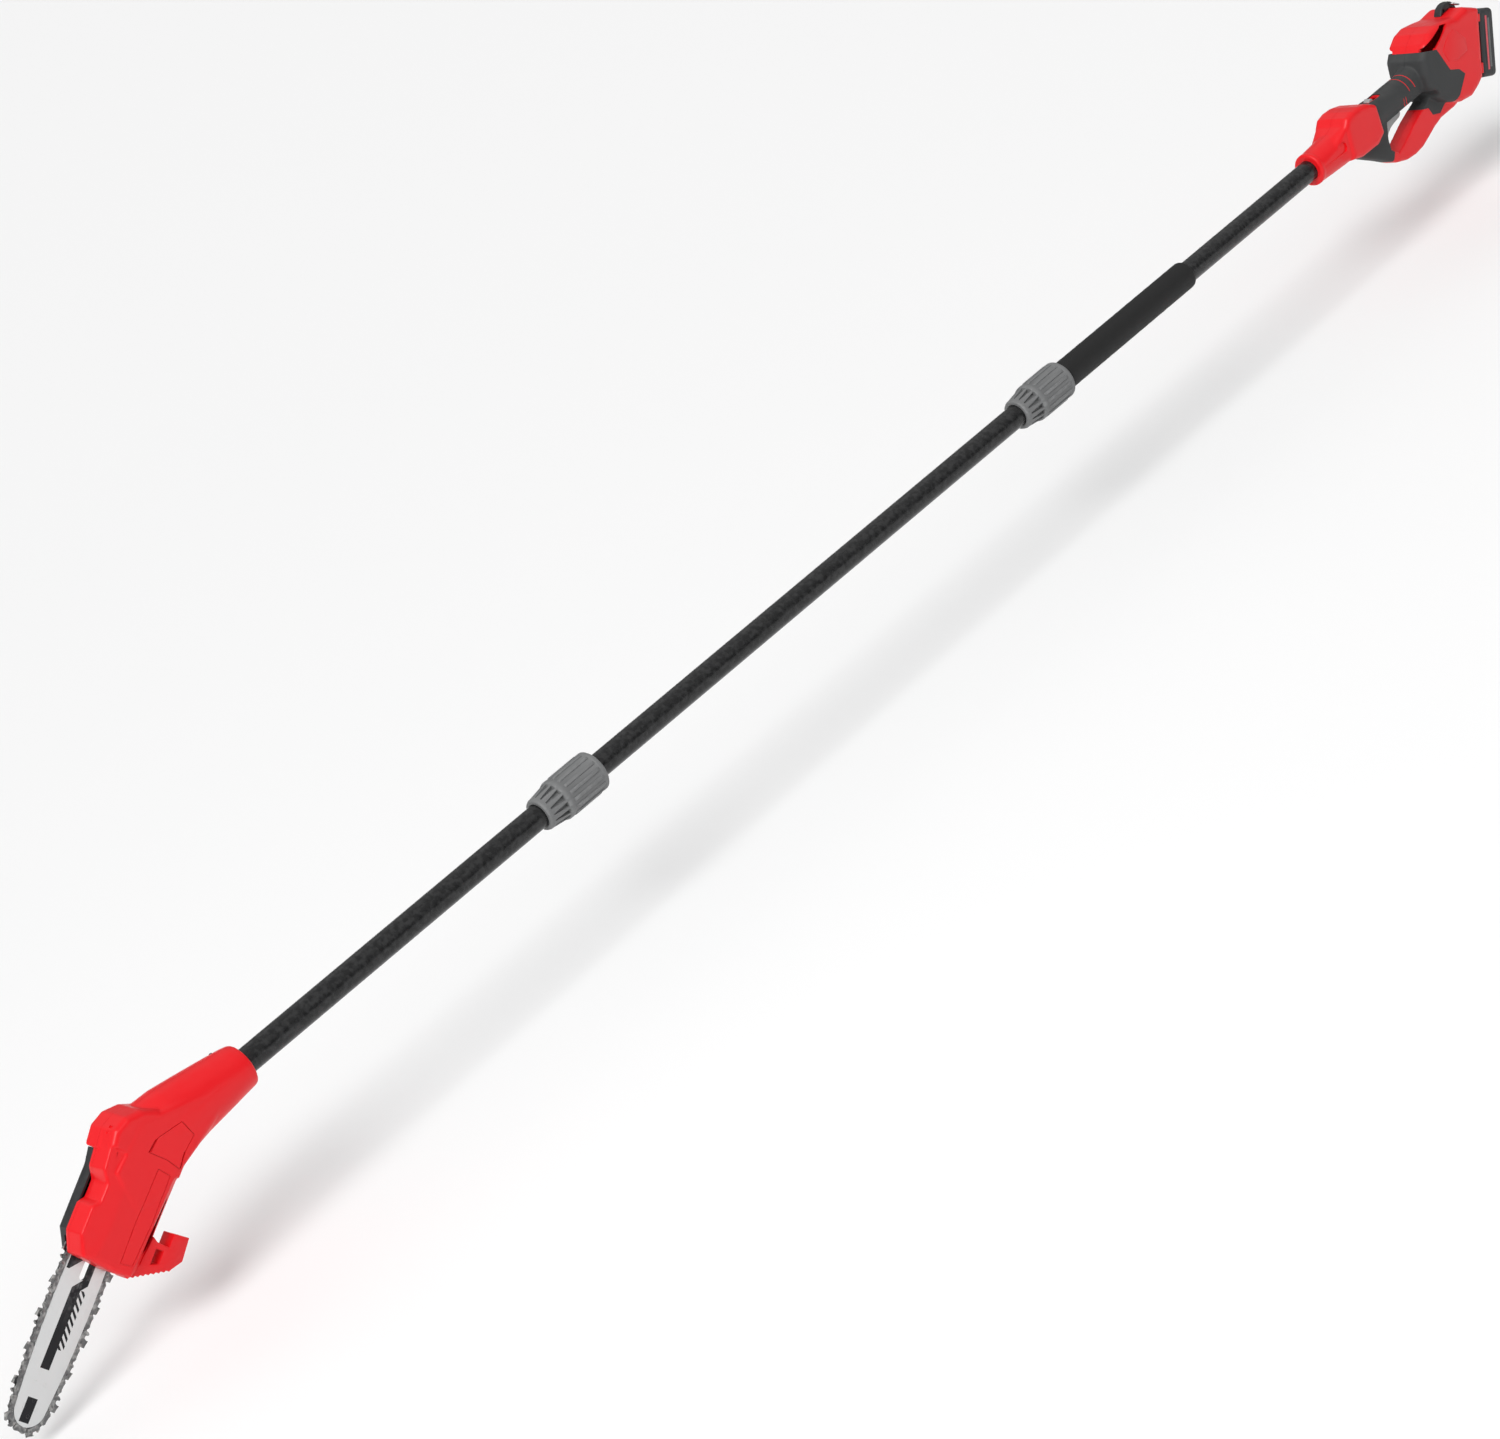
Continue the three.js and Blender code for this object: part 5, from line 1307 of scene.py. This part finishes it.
def build_head(sizes, finish):
    neck, body, elbow = head_parts(0)
    carve(body, face_cuts())
    grooves = []
    for side in (-1, 1):
        for (x0, z0), (x1, z1) in NECK_GROOVES:
            start, end = (x0, side * 30.6, z0), (x1, side * 32.4, z1)
            grooves.append(capsule("neck_groove", start, end, 2.6, TO_HEAD))
    carve(neck, grooves)
    cheek = [(30, 28), (-30, 34), (-60, -10), (-30, -34), (30, -34)]
    flow = blend("flow", (-50, 3, 24, 30, 2.4), cheek, (-30.5, -10), TO_HEAD, TO_BAR)
    solid = melted(carve(neck, [body, elbow, flow], "UNION"), sizes.skin_grain, MELT_STEPS)

    clamp_end = -TUBE_IN_HEAD - 6
    inner_neck, inner_body, inner_elbow = head_parts(3)
    behind = block("behind", -FAR, clamp_end, -FAR, FAR, -FAR, FAR, TO_HEAD)
    carve(inner_neck, [behind], "INTERSECT")
    carve(inner_body, [half_space("plate_line", 1, -FAR, 2.5)], "INTERSECT")
    carve(inner_neck, [inner_body, inner_elbow], "UNION")
    ribs = [MOTOR_FRONT + 5, MOTOR_FRONT + 56]
    carve(inner_neck, [block("rib", x, x + 3, -PAST, PAST, -PAST, PAST, TO_HEAD) for x in ribs])
    carve(inner_neck, [along_x("motor_seat", 20.3, APEX_X, clamp_end, TO_HEAD)], "UNION")
    cutters = [
        inner_neck, along_x("bore", TUBE_R + FIT, -TUBE_IN_HEAD - FIT, 10, TO_HEAD),
        along_x("lead", LEAD_R, clamp_end - 5, 0, TO_HEAD),
    ]
    for x0, z0, x1, z1 in SLITS:
        line = [(x0, z0 - SLIT_HALF), (x1, z1 - SLIT_HALF), (x1, z1 + SLIT_HALF), (x0, z0 + SLIT_HALF)]
        for side in (-1, 1):
            cutters.append(prism("slit", line, *side_span(side, 23, PAST), place=TO_BAR))
    for x, z in ((15.2, 54.7), (7.7, 56.0)):
        cutters.append(across_y("dimple", x, z, 1.6, -18, -12, TO_BAR, 20))
    for panel, depth in ((ELBOW_PANEL, 28.6), (SIDE_PANEL, 28.9)):
        seam = prism("seam", panel, -PAST, -depth, place=TO_BAR)
        cutters.append(carve(seam, [prism("island", inset(panel, 0.8), -70, 0, place=TO_BAR)]))
    carve(solid, cutters)

    right = copy_of(solid, "head_housing_right")
    flat = block("bar_side", -400, -10.9, PLATE_TO, 80, -120, 120, TO_BAR)
    carve(right, [right_half()], "INTERSECT")
    carve(right, [flat])
    pad = across_y("pad", -STUD_AT, 0, 15, PLATE_TO - 1, 7.7, TO_BAR, 48)
    lug = block("lug", -116, -110, SEAM, PLATE_TO, TENSION_Z - 5, TENSION_Z + 5, TO_BAR)
    carve(right, [pad, lug], "UNION")
    holes = [
        block("pocket", -109.9, -73, -9, 9, TENSION_Z - 4, TENSION_Z + 4, TO_BAR),
        block("pocket", -150, -116.1, -9, 9, TENSION_Z - 4, TENSION_Z + 4, TO_BAR),
        along_x("screw_hole", 2.4, -140, -75, TO_BAR, TENSION_Y, TENSION_Z, 24),
        across_y("stud_hole", -STUD_AT, 0, 4.2, -5, 30, TO_BAR),
        across_y("axle_hole", APEX_X, 0, 4.6, -5, 8, TO_HEAD),
        across_y("axle_hole", *SPROCKET, 4.6, -5, 8, TO_HEAD),
    ]
    holes += [across_y("well", x, z, SCREW_WELL_R, y - 7, PAST, TO_HEAD) for x, y, z in HEAD_SCREWS]
    carve(right, holes)
    finish_piece(right, "head", finish.get("red"), ["head_housing_right"])
    heads = mesh_object("head_screw_places", [(x, y - 5, z) for x, y, z in HEAD_SCREWS], [], TO_HEAD)
    screw_set("head_screws", heads, "head", sizes, finish)

    carve(solid, [left_half()], "INTERSECT")
    carve(solid, [head_hook()], "UNION")
    solid.name = "head_housing_left"
    finish_piece(solid, "head", finish.get("red"), ["head_housing_left"])


def rail_half(x):
    """Half the width of the bar at x along it."""
    toward_nose = -x > BAR_MIDDLE
    end = NOSE_CENTRE if toward_nose else SPROCKET_AT
    loss = BAR_WIDTH / 2 - (BAR_NOSE_R if toward_nose else SPROCKET_LOOP_R)
    return BAR_WIDTH / 2 - loss * ((-x - BAR_MIDDLE) / (end - BAR_MIDDLE)) ** 2


def rail_line(offset, start, steps=36):
    top = []
    for i in range(steps + 1):
        x = -start - (NOSE_CENTRE - start) * i / steps
        top.append((x, rail_half(x) + offset))
    nose = []
    for i in range(1, 36):
        angle = math.radians(90 + 5 * i)
        reach = BAR_NOSE_R + offset
        nose.append((-NOSE_CENTRE + reach * math.cos(angle), reach * math.sin(angle)))
    return [*top, *nose, *[(x, -z) for x, z in reversed(top)]]


def loop_line(offset):
    back = []
    for i in range(1, 24):
        angle = math.radians(-90 + 7.5 * i)
        reach = SPROCKET_LOOP_R + offset
        back.append((-SPROCKET_AT + reach * math.cos(angle), reach * math.sin(angle)))
    return [*rail_line(offset, SPROCKET_AT), *back]


def stadium(x0, x1, radius, z=0.0):
    """The outline of a slot from x0 down to x1."""
    ends = [(x0 + radius * math.cos(a), z + radius * math.sin(a)) for a in arc_angles(-90, 90)]
    return ends + [(x1 + radius * math.cos(a), z + radius * math.sin(a)) for a in arc_angles(90, 270)]


def arc_angles(first, last, steps=12):
    return [math.radians(first + (last - first) * i / steps) for i in range(steps + 1)]


def build_bar(sizes, finish):
    bar = prism("guide_bar_plate", rail_line(0, BAR_TAIL), 8, 12, 0.25, 2, TO_BAR)
    groove = prism("groove", rail_line(3, BAR_TAIL - 20), 9.3, 10.7, place=TO_BAR)
    carve(groove, [prism("core", rail_line(-6, BAR_TAIL - 30), 0, 20, place=TO_BAR)])
    cutters = [groove, prism("slot", stadium(-76, -145, 4.5), 0, 20, place=TO_BAR)]
    for z in (TENSION_Z, -TENSION_Z):
        cutters.append(across_y("pin_hole", -BLOCK_AT, z, 3.4, 0, 20, TO_BAR))
    cutters.append(across_y("oil_hole", -112, 19.5, 1.5, 0, 20, TO_BAR, 20))
    nose_pocket = across_y("nose_pocket", -NOSE_CENTRE, 0, BAR_NOSE_R + 3, 9.1, 10.9, TO_BAR, 64)
    carve(nose_pocket, [across_y("boss", -NOSE_CENTRE, 0, 4, 0, 20, TO_BAR)])
    carve(bar, [*cutters, nose_pocket])
    rivet = turned_y(
        "rivet", [(7.75, 1.4), (7.65, 1.9), (7.9, 2.2), (12.1, 2.2), (12.35, 1.9), (12.25, 1.4)], sides=24
    )
    turns = [2 * math.pi * i / 4 for i in range(4)]
    places = [(-NOSE_CENTRE + 9 * math.cos(a), 0, 9 * math.sin(a)) for a in turns]
    places += [(-NOSE_CENTRE + 28, 0, 7), (-NOSE_CENTRE + 28, 0, -7)]
    points = mesh_object("rivet_places", places, [])
    rivets = grown("rivets", vertex_pattern(), {"Points": points}, finish.get("bar"), rivet)
    remove(points)
    rivets.data.transform(in_metres(TO_BAR))
    carve(bar, [rivets], "UNION")
    finish_piece(bar, "bar", finish.get("bar"), ["guide_bar"])


def in_metres(place):
    """The same place for data that is already in metres."""
    return Matrix.Translation(place.to_translation() * MM) @ place.to_3x3().to_4x4()


def chain_pieces():
    """The chain's kinds of link about their middle, with +X along the travel on the bar's upper side."""
    drive = prism("drive", [
        (-7.4, -1.2), (-3.4, -3.6), (-2.4, -5.4), (-0.6, -5.9), (1.6, -5.5), (3.4, -3.6), (7.4, -1.2),
        (7.4, 1.2), (5, 2.6), (1.8, 1), (-1.8, 1), (-5, 2.6), (-7.4, 1.2),
    ], -0.6, 0.6, 0.12, 1)
    strap = [
        (-8, -1.8), (-7, -4.3), (-4, -4.7), (4, -4.7), (7, -4.3), (8, -1.8), (7.5, 0.9), (5, 2.3), (2, 1.5),
        (-2, 1.5), (-5, 2.3), (-7.5, 0.9),
    ]
    blade = [
        (-9.2, -1.8), (-7.2, -4.5), (7.2, -4.5), (9.4, -1.8), (9.6, 2), (9.4, 5.6), (1.4, 6.2), (0.6, 4),
        (-0.6, 1.2), (-3, 1), (-4.2, 2), (-4.8, 4.8), (-6.6, 5.2), (-8.8, 2.4),
    ]
    rivets = []
    for x in (-4.75, 4.75):
        profile = [(-2.6, 0.9), (-2.3, 1.7), (-1.5, 1.9), (1.5, 1.9), (2.3, 1.7), (2.6, 0.9)]
        rivets.append(turned_y("rivet", profile, x=x, sides=16))
    near = prism("near", strap, *side_span(-1, PLATE_NEAR, PLATE_FAR), 0.2, 1)
    far = prism("far", strap, *side_span(1, PLATE_NEAR, PLATE_FAR), 0.2, 1)
    tie = merged("tie", [near, far, *[copy_of(r, "r") for r in rivets]])
    cutters = []
    for side in (-1, 1):
        plate = hull("top", [
            (0.8, side * 2.6, 6.5), (0.8, side * 0.2, 6.6), (9.2, side * 1.9, 5.1), (9.2, side * 0.2, 5.1),
            (0.8, side * 2.6, 5.5), (0.8, -side * 0.9, 5.6), (9.2, side * 1.9, 4.3), (9.2, -side * 0.2, 4.3),
            (0.8, -side * 0.9, 6.5),
        ])
        cutters.append(merged("cutter", [
            prism("blade", blade, *side_span(side, PLATE_NEAR, PLATE_FAR), 0.15, 1),
            prism("back", strap, *side_span(-side, PLATE_NEAR, PLATE_FAR), 0.2, 1), plate,
            *[copy_of(r, "r") for r in rivets],
        ]))
    remove(*rivets)
    return drive, tie, cutters


def build_chain(sizes, finish):
    line = list(reversed(loop_line(CHAIN_LIFT)))
    edges = [(i, (i + 1) % len(line)) for i in range(len(line))]
    mesh = bpy.data.meshes.new("chain_path")
    mesh.from_pydata([(x * MM, 0, z * MM) for x, z in line], edges, [])
    path = placed("chain_path", mesh)
    drive, tie, (left, right) = chain_pieces()
    rows = ((drive, 0, 2), (tie, 3, 4), (left, 1, 8), (right, 5, 8))
    made = []
    for part, first, step in rows:
        values = {"Path": path, "Links": sizes.chain_links, "First": first, "Step": step}
        made.append(grown(f"links_{first}", link_pattern(), values, finish.get("chain"), part))
    remove(path)
    chain = merged("saw_chain_links", made)
    chain.data.transform(in_metres(TO_BAR @ Matrix.Translation((0, BAR_Y, 0))))
    finish_piece(chain, "bar", finish.get("chain"), ["saw_chain"], crease=40)


def build_cover(sizes, finish):
    cover = prism("sprocket_cover_shell", COVER, -10, HEAD_RIGHT, 6, 5, TO_BAR)
    carve(cover, [half_space("outer", 1, PLATE_TO + FIT, FAR)], "INTERSECT")
    hollow = prism("cover_hollow", inset(COVER, 2.5), -10, HEAD_RIGHT - 2.5, 4, 4, TO_BAR)
    carve(hollow, [across_y("seat", -STUD_AT, 0, 14, 15, HEAD_RIGHT - 1, TO_BAR, 48)])
    cutters = [
        hollow, block("chain_exit", -150, -106, 0, 14, -39.2, 39.2, TO_BAR),
        across_y("stud", -STUD_AT, 0, 4.5, 0, 40, TO_BAR),
        across_y("nut_well", -STUD_AT, 0, 11, 18, 40, TO_BAR, 48),
    ]
    slot = capsule("cooling_slot", (-30, HEAD_RIGHT, -30), (-24, HEAD_RIGHT, 26), 1.3, TO_BAR)
    step = tuple(TO_BAR.to_3x3() @ Vector((-7.5, 0, 0)))
    carve(cover, [*cutters, in_row("cooling_slots", slot, 5, step, finish.get("black"))])
    boss = turned_y(
        "nut_boss", [(20, 15), (25.4, 14.6), (26.5, 13.6), (26.5, 11.6), (20, 11)], -STUD_AT, 0, closed=True,
        sides=64, place=TO_BAR,
    )
    details = [boss]
    y = HEAD_RIGHT - 0.4
    for x0, z0, x1, z1 in ((-112, 22, -78, 33), (-114, -22, -78, -33), (-118, -14, -118, 14)):
        details.append(capsule("cover_rib", (x0, y, z0), (x1, y, z1), 1.4, TO_BAR))
    carve(cover, details, "UNION")
    finish_piece(cover, "sprocket_cover", finish.get("black"), ["sprocket_cover"])

    corner = 8.6
    turns = [math.pi / 3 * i for i in range(6)]
    ring = [(-STUD_AT + corner * math.cos(a), corner * math.sin(a)) for a in turns]
    nut = prism("bar_nut", ring, 18.3, 25.5, place=TO_BAR)
    profile = [(18.3, 7.9), (18.9, corner), (24.6, corner), (25.5, 7.5)]
    dome = turned_y("nut_round", profile, -STUD_AT, 0, sides=48, place=TO_BAR)
    carve(nut, [dome], "INTERSECT")
    profile = [(15, 4.2), (24.6, 4.2), (26, 5.2)]
    carve(nut, [turned_y("nut_bore", profile, -STUD_AT, 0, sides=32, place=TO_BAR)])
    finish_piece(nut, "cover_nut", finish.get("steel"), ["cover_nut"])
    stud = turned_y("bar_stud_thread", [
        (-1, 7.6), (-0.6, 8), (1.8, 8), (2.2, 7.6), (2.2, 3.9), (10, 3.9),
        *[(10 + 0.6 * i, 3.9 if i % 2 else 3.35) for i in range(1, 26)], (25.6, 3.2), (26, 2.8),
    ], -STUD_AT, 0, sides=36, place=TO_BAR)
    finish_piece(stud, "head", finish.get("steel"), ["bar_stud"])


INNER = {
    "black": ["head_cable", "extension_cable", "handle_cable", "trigger_switch", "terminal_block"],
    "steel": [
        "trigger_spring", "nose_sprocket", "tension_block", "tension_screw", "motor_shaft", "bevel_pinion",
        "bevel_gear", "jackshaft", "spur_gear", "sprocket_shaft", "drive_sprocket",
    ],
    "dark_steel": ["motor_can"],
    "copper": ["motor_armature"],
    "aluminium": ["gear_bracket"],
    "wrap": [f"battery_cell_{i}" for i in range(1, 6)],
}


def dress_inner_parts(sizes, finish):
    """Gives finishes to the pieces inside, whose CAD shapes are kept."""
    for name, nodes in INNER.items():
        material = finish.get(name)
        for node in nodes:
            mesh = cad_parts[node].data
            mesh.materials.clear()
            mesh.materials.append(material)
            mesh.set_sharp_from_angle(angle=math.radians(CREASE))


# ---- Stage ------------------------------------------------------------------------------------------------

FLOOR_Z = -0.215
FLOOR_REACH = 40.0
DOME = [(0.0, 0.3), (0.35, 0.42), (0.62, 0.95), (0.8, 1.0), (1.0, 0.75)]  # height and brightness
DOME_STRENGTH = 0.66
SUN_ENERGY = 1.9
SUN_ANGLE = math.radians(32)
SUN_TOWARD = (0.75, 0.35, -1)
STRIP_AT = (-2.9, -1.6, 1.6)
STRIP_AIM = (-1.25, 0, 0)
STRIP_SIZE = (2.6, 0.5)
STRIP_POWER = 9
CAMERA_AT = (-4.0762, -3.2823, 1.8088)
CAMERA_BACK = (-0.54745, -0.72437, 0.41903)
CAMERA_RIGHT = (0.63526, -0.68568, -0.35538)
CAMERA_LENS = 85.2
CAMERA_SENSOR = 36


def floor_material(tone):
    material = bpy.data.materials.new("Studio floor")
    material.use_nodes = True
    shader = material.node_tree.nodes["Principled BSDF"]
    shader.inputs["Base Color"].default_value = (*tone, 1)
    shader.inputs["Roughness"].default_value = 0.9
    shader.inputs["Specular IOR Level"].default_value = 0.1
    return material


def soft_light(name, place, aim, size, power):
    lamp = bpy.data.lights.new(name, "AREA")
    lamp.shape = "RECTANGLE"
    lamp.size, lamp.size_y = size
    lamp.energy = power
    made = placed(name, lamp)
    made.location = place
    made.rotation_euler = (Vector(aim) - Vector(place)).to_track_quat("-Z", "Y").to_euler()
    return made


def build_stage(sizes, finish):
    scene = bpy.context.scene
    scene.view_settings.view_transform = "Standard"
    reach = FLOOR_REACH / MM
    corners = [(-reach, -reach), (reach, -reach), (reach, reach), (-reach, reach)]
    floor = mesh_object("floor", [(x, y, FLOOR_Z / MM) for x, y in corners], [(0, 1, 2, 3)])
    floor.data.materials.append(floor_material(finish.colours.floor))
    world = bpy.data.worlds.new("Studio")
    scene.world = world
    world.use_nodes = True
    graph = Graph(world.node_tree)
    facing = graph.node("ShaderNodeTexCoord").outputs["Generated"]
    height = graph.node("ShaderNodeSeparateXYZ", {0: facing}).outputs["Z"]
    sky = world.node_tree.nodes["Background"].inputs
    world.node_tree.links.new(graph.ramp(height, DOME), sky["Color"])
    sky["Strength"].default_value = DOME_STRENGTH
    lamp = bpy.data.lights.new("key", "SUN")
    lamp.energy, lamp.angle = SUN_ENERGY, SUN_ANGLE
    key = placed("key", lamp)
    key.rotation_euler = Vector(SUN_TOWARD).to_track_quat("-Z", "Y").to_euler()
    strip = soft_light("strip", STRIP_AT, STRIP_AIM, STRIP_SIZE, STRIP_POWER)
    camera = bpy.data.cameras.new("camera")
    camera.lens, camera.sensor_width = CAMERA_LENS, CAMERA_SENSOR
    viewer = placed("camera", camera)
    back = Vector(CAMERA_BACK).normalized()
    right = Vector(CAMERA_RIGHT)
    right = (right - right.dot(back) * back).normalized()
    turn = Matrix((right, back.cross(right), back)).transposed().to_4x4()
    viewer.matrix_world = Matrix.Translation(CAMERA_AT) @ turn
    scene.camera = viewer


# ---- Add-on -----------------------------------------------------------------------------------------------


class BuildOperator:
    """What every step of the build shares."""

    bl_options = {"REGISTER", "UNDO"}

    def execute(self, context):
        self.steps(context.scene.pole_saw_sizes, Finishes(context.scene.pole_saw_colours))
        return {"FINISHED"}


class POLESAW_OT_tubes(BuildOperator, bpy.types.Operator):
    """Make the three coated pole tubes"""

    bl_idname = "pole_saw.tubes"
    bl_label = "Pole Tubes"
    steps = staticmethod(build_tubes)


class POLESAW_OT_couplings(BuildOperator, bpy.types.Operator):
    """Make the screw collars with their plugs and sockets"""

    bl_idname = "pole_saw.couplings"
    bl_label = "Couplings"
    steps = staticmethod(build_couplings)


class POLESAW_OT_foam(BuildOperator, bpy.types.Operator):
    """Make the foam foregrip"""

    bl_idname = "pole_saw.foam"
    bl_label = "Foregrip"
    steps = staticmethod(build_foam)


class POLESAW_OT_handle(BuildOperator, bpy.types.Operator):
    """Make the rear handle's shells, soft grip and screws"""

    bl_idname = "pole_saw.handle"
    bl_label = "Rear Handle"
    steps = staticmethod(build_handle)


class POLESAW_OT_controls(BuildOperator, bpy.types.Operator):
    """Make the trigger and the lock-off button"""

    bl_idname = "pole_saw.controls"
    bl_label = "Controls"
    steps = staticmethod(build_controls)


class POLESAW_OT_strap_point(BuildOperator, bpy.types.Operator):
    """Make the strap bracket and its ring"""

    bl_idname = "pole_saw.strap_point"
    bl_label = "Strap Point"
    steps = staticmethod(build_strap_point)


class POLESAW_OT_battery(BuildOperator, bpy.types.Operator):
    """Make the battery and its latch"""

    bl_idname = "pole_saw.battery"
    bl_label = "Battery"
    steps = staticmethod(build_battery)


class POLESAW_OT_head(BuildOperator, bpy.types.Operator):
    """Make the saw head's housings, hook and screws"""

    bl_idname = "pole_saw.head"
    bl_label = "Saw Head"
    steps = staticmethod(build_head)


class POLESAW_OT_bar(BuildOperator, bpy.types.Operator):
    """Make the grooved guide bar"""

    bl_idname = "pole_saw.bar"
    bl_label = "Guide Bar"
    steps = staticmethod(build_bar)


class POLESAW_OT_chain(BuildOperator, bpy.types.Operator):
    """Make the saw chain link by link"""

    bl_idname = "pole_saw.chain"
    bl_label = "Saw Chain"
    steps = staticmethod(build_chain)


class POLESAW_OT_cover(BuildOperator, bpy.types.Operator):
    """Make the sprocket cover, its nut and its stud"""

    bl_idname = "pole_saw.cover"
    bl_label = "Sprocket Cover"
    steps = staticmethod(build_cover)


class POLESAW_OT_inner_parts(BuildOperator, bpy.types.Operator):
    """Finish the motor, gears, leads and cells inside"""

    bl_idname = "pole_saw.inner_parts"
    bl_label = "Inner Parts"
    steps = staticmethod(dress_inner_parts)


class POLESAW_OT_stage(BuildOperator, bpy.types.Operator):
    """Set the floor, the lights and the camera"""

    bl_idname = "pole_saw.stage"
    bl_label = "Stage"
    steps = staticmethod(build_stage)


OPERATORS = (
    POLESAW_OT_tubes, POLESAW_OT_couplings, POLESAW_OT_foam, POLESAW_OT_handle, POLESAW_OT_controls,
    POLESAW_OT_strap_point, POLESAW_OT_battery, POLESAW_OT_head, POLESAW_OT_bar, POLESAW_OT_chain,
    POLESAW_OT_cover, POLESAW_OT_inner_parts, POLESAW_OT_stage,
)


class POLESAW_PT_build(bpy.types.Panel):
    """Sizes, colours and build steps of the pole saw"""

    bl_label = "Pole Saw"
    bl_idname = "POLESAW_PT_build"
    bl_space_type = "VIEW_3D"
    bl_region_type = "UI"
    bl_category = "Pole Saw"

    def draw(self, context):
        column = self.layout.column()
        for group in (context.scene.pole_saw_sizes, context.scene.pole_saw_colours):
            for name in group.__annotations__:
                column.prop(group, name)
        for operator in OPERATORS:
            column.operator(operator.bl_idname)


CLASSES = (PoleSawColours, PoleSawSizes, *OPERATORS, POLESAW_PT_build)


def register():
    for cls in CLASSES:
        bpy.utils.register_class(cls)
    bpy.types.Scene.pole_saw_sizes = PointerProperty(type=PoleSawSizes)
    bpy.types.Scene.pole_saw_colours = PointerProperty(type=PoleSawColours)


def unregister():
    del bpy.types.Scene.pole_saw_colours
    del bpy.types.Scene.pole_saw_sizes
    for cls in reversed(CLASSES):
        bpy.utils.unregister_class(cls)


def main():
    register()
    for operator in OPERATORS:
        group, name = operator.bl_idname.split(".")
        getattr(getattr(bpy.ops, group), name)()


if __name__ == "__main__":
    main()
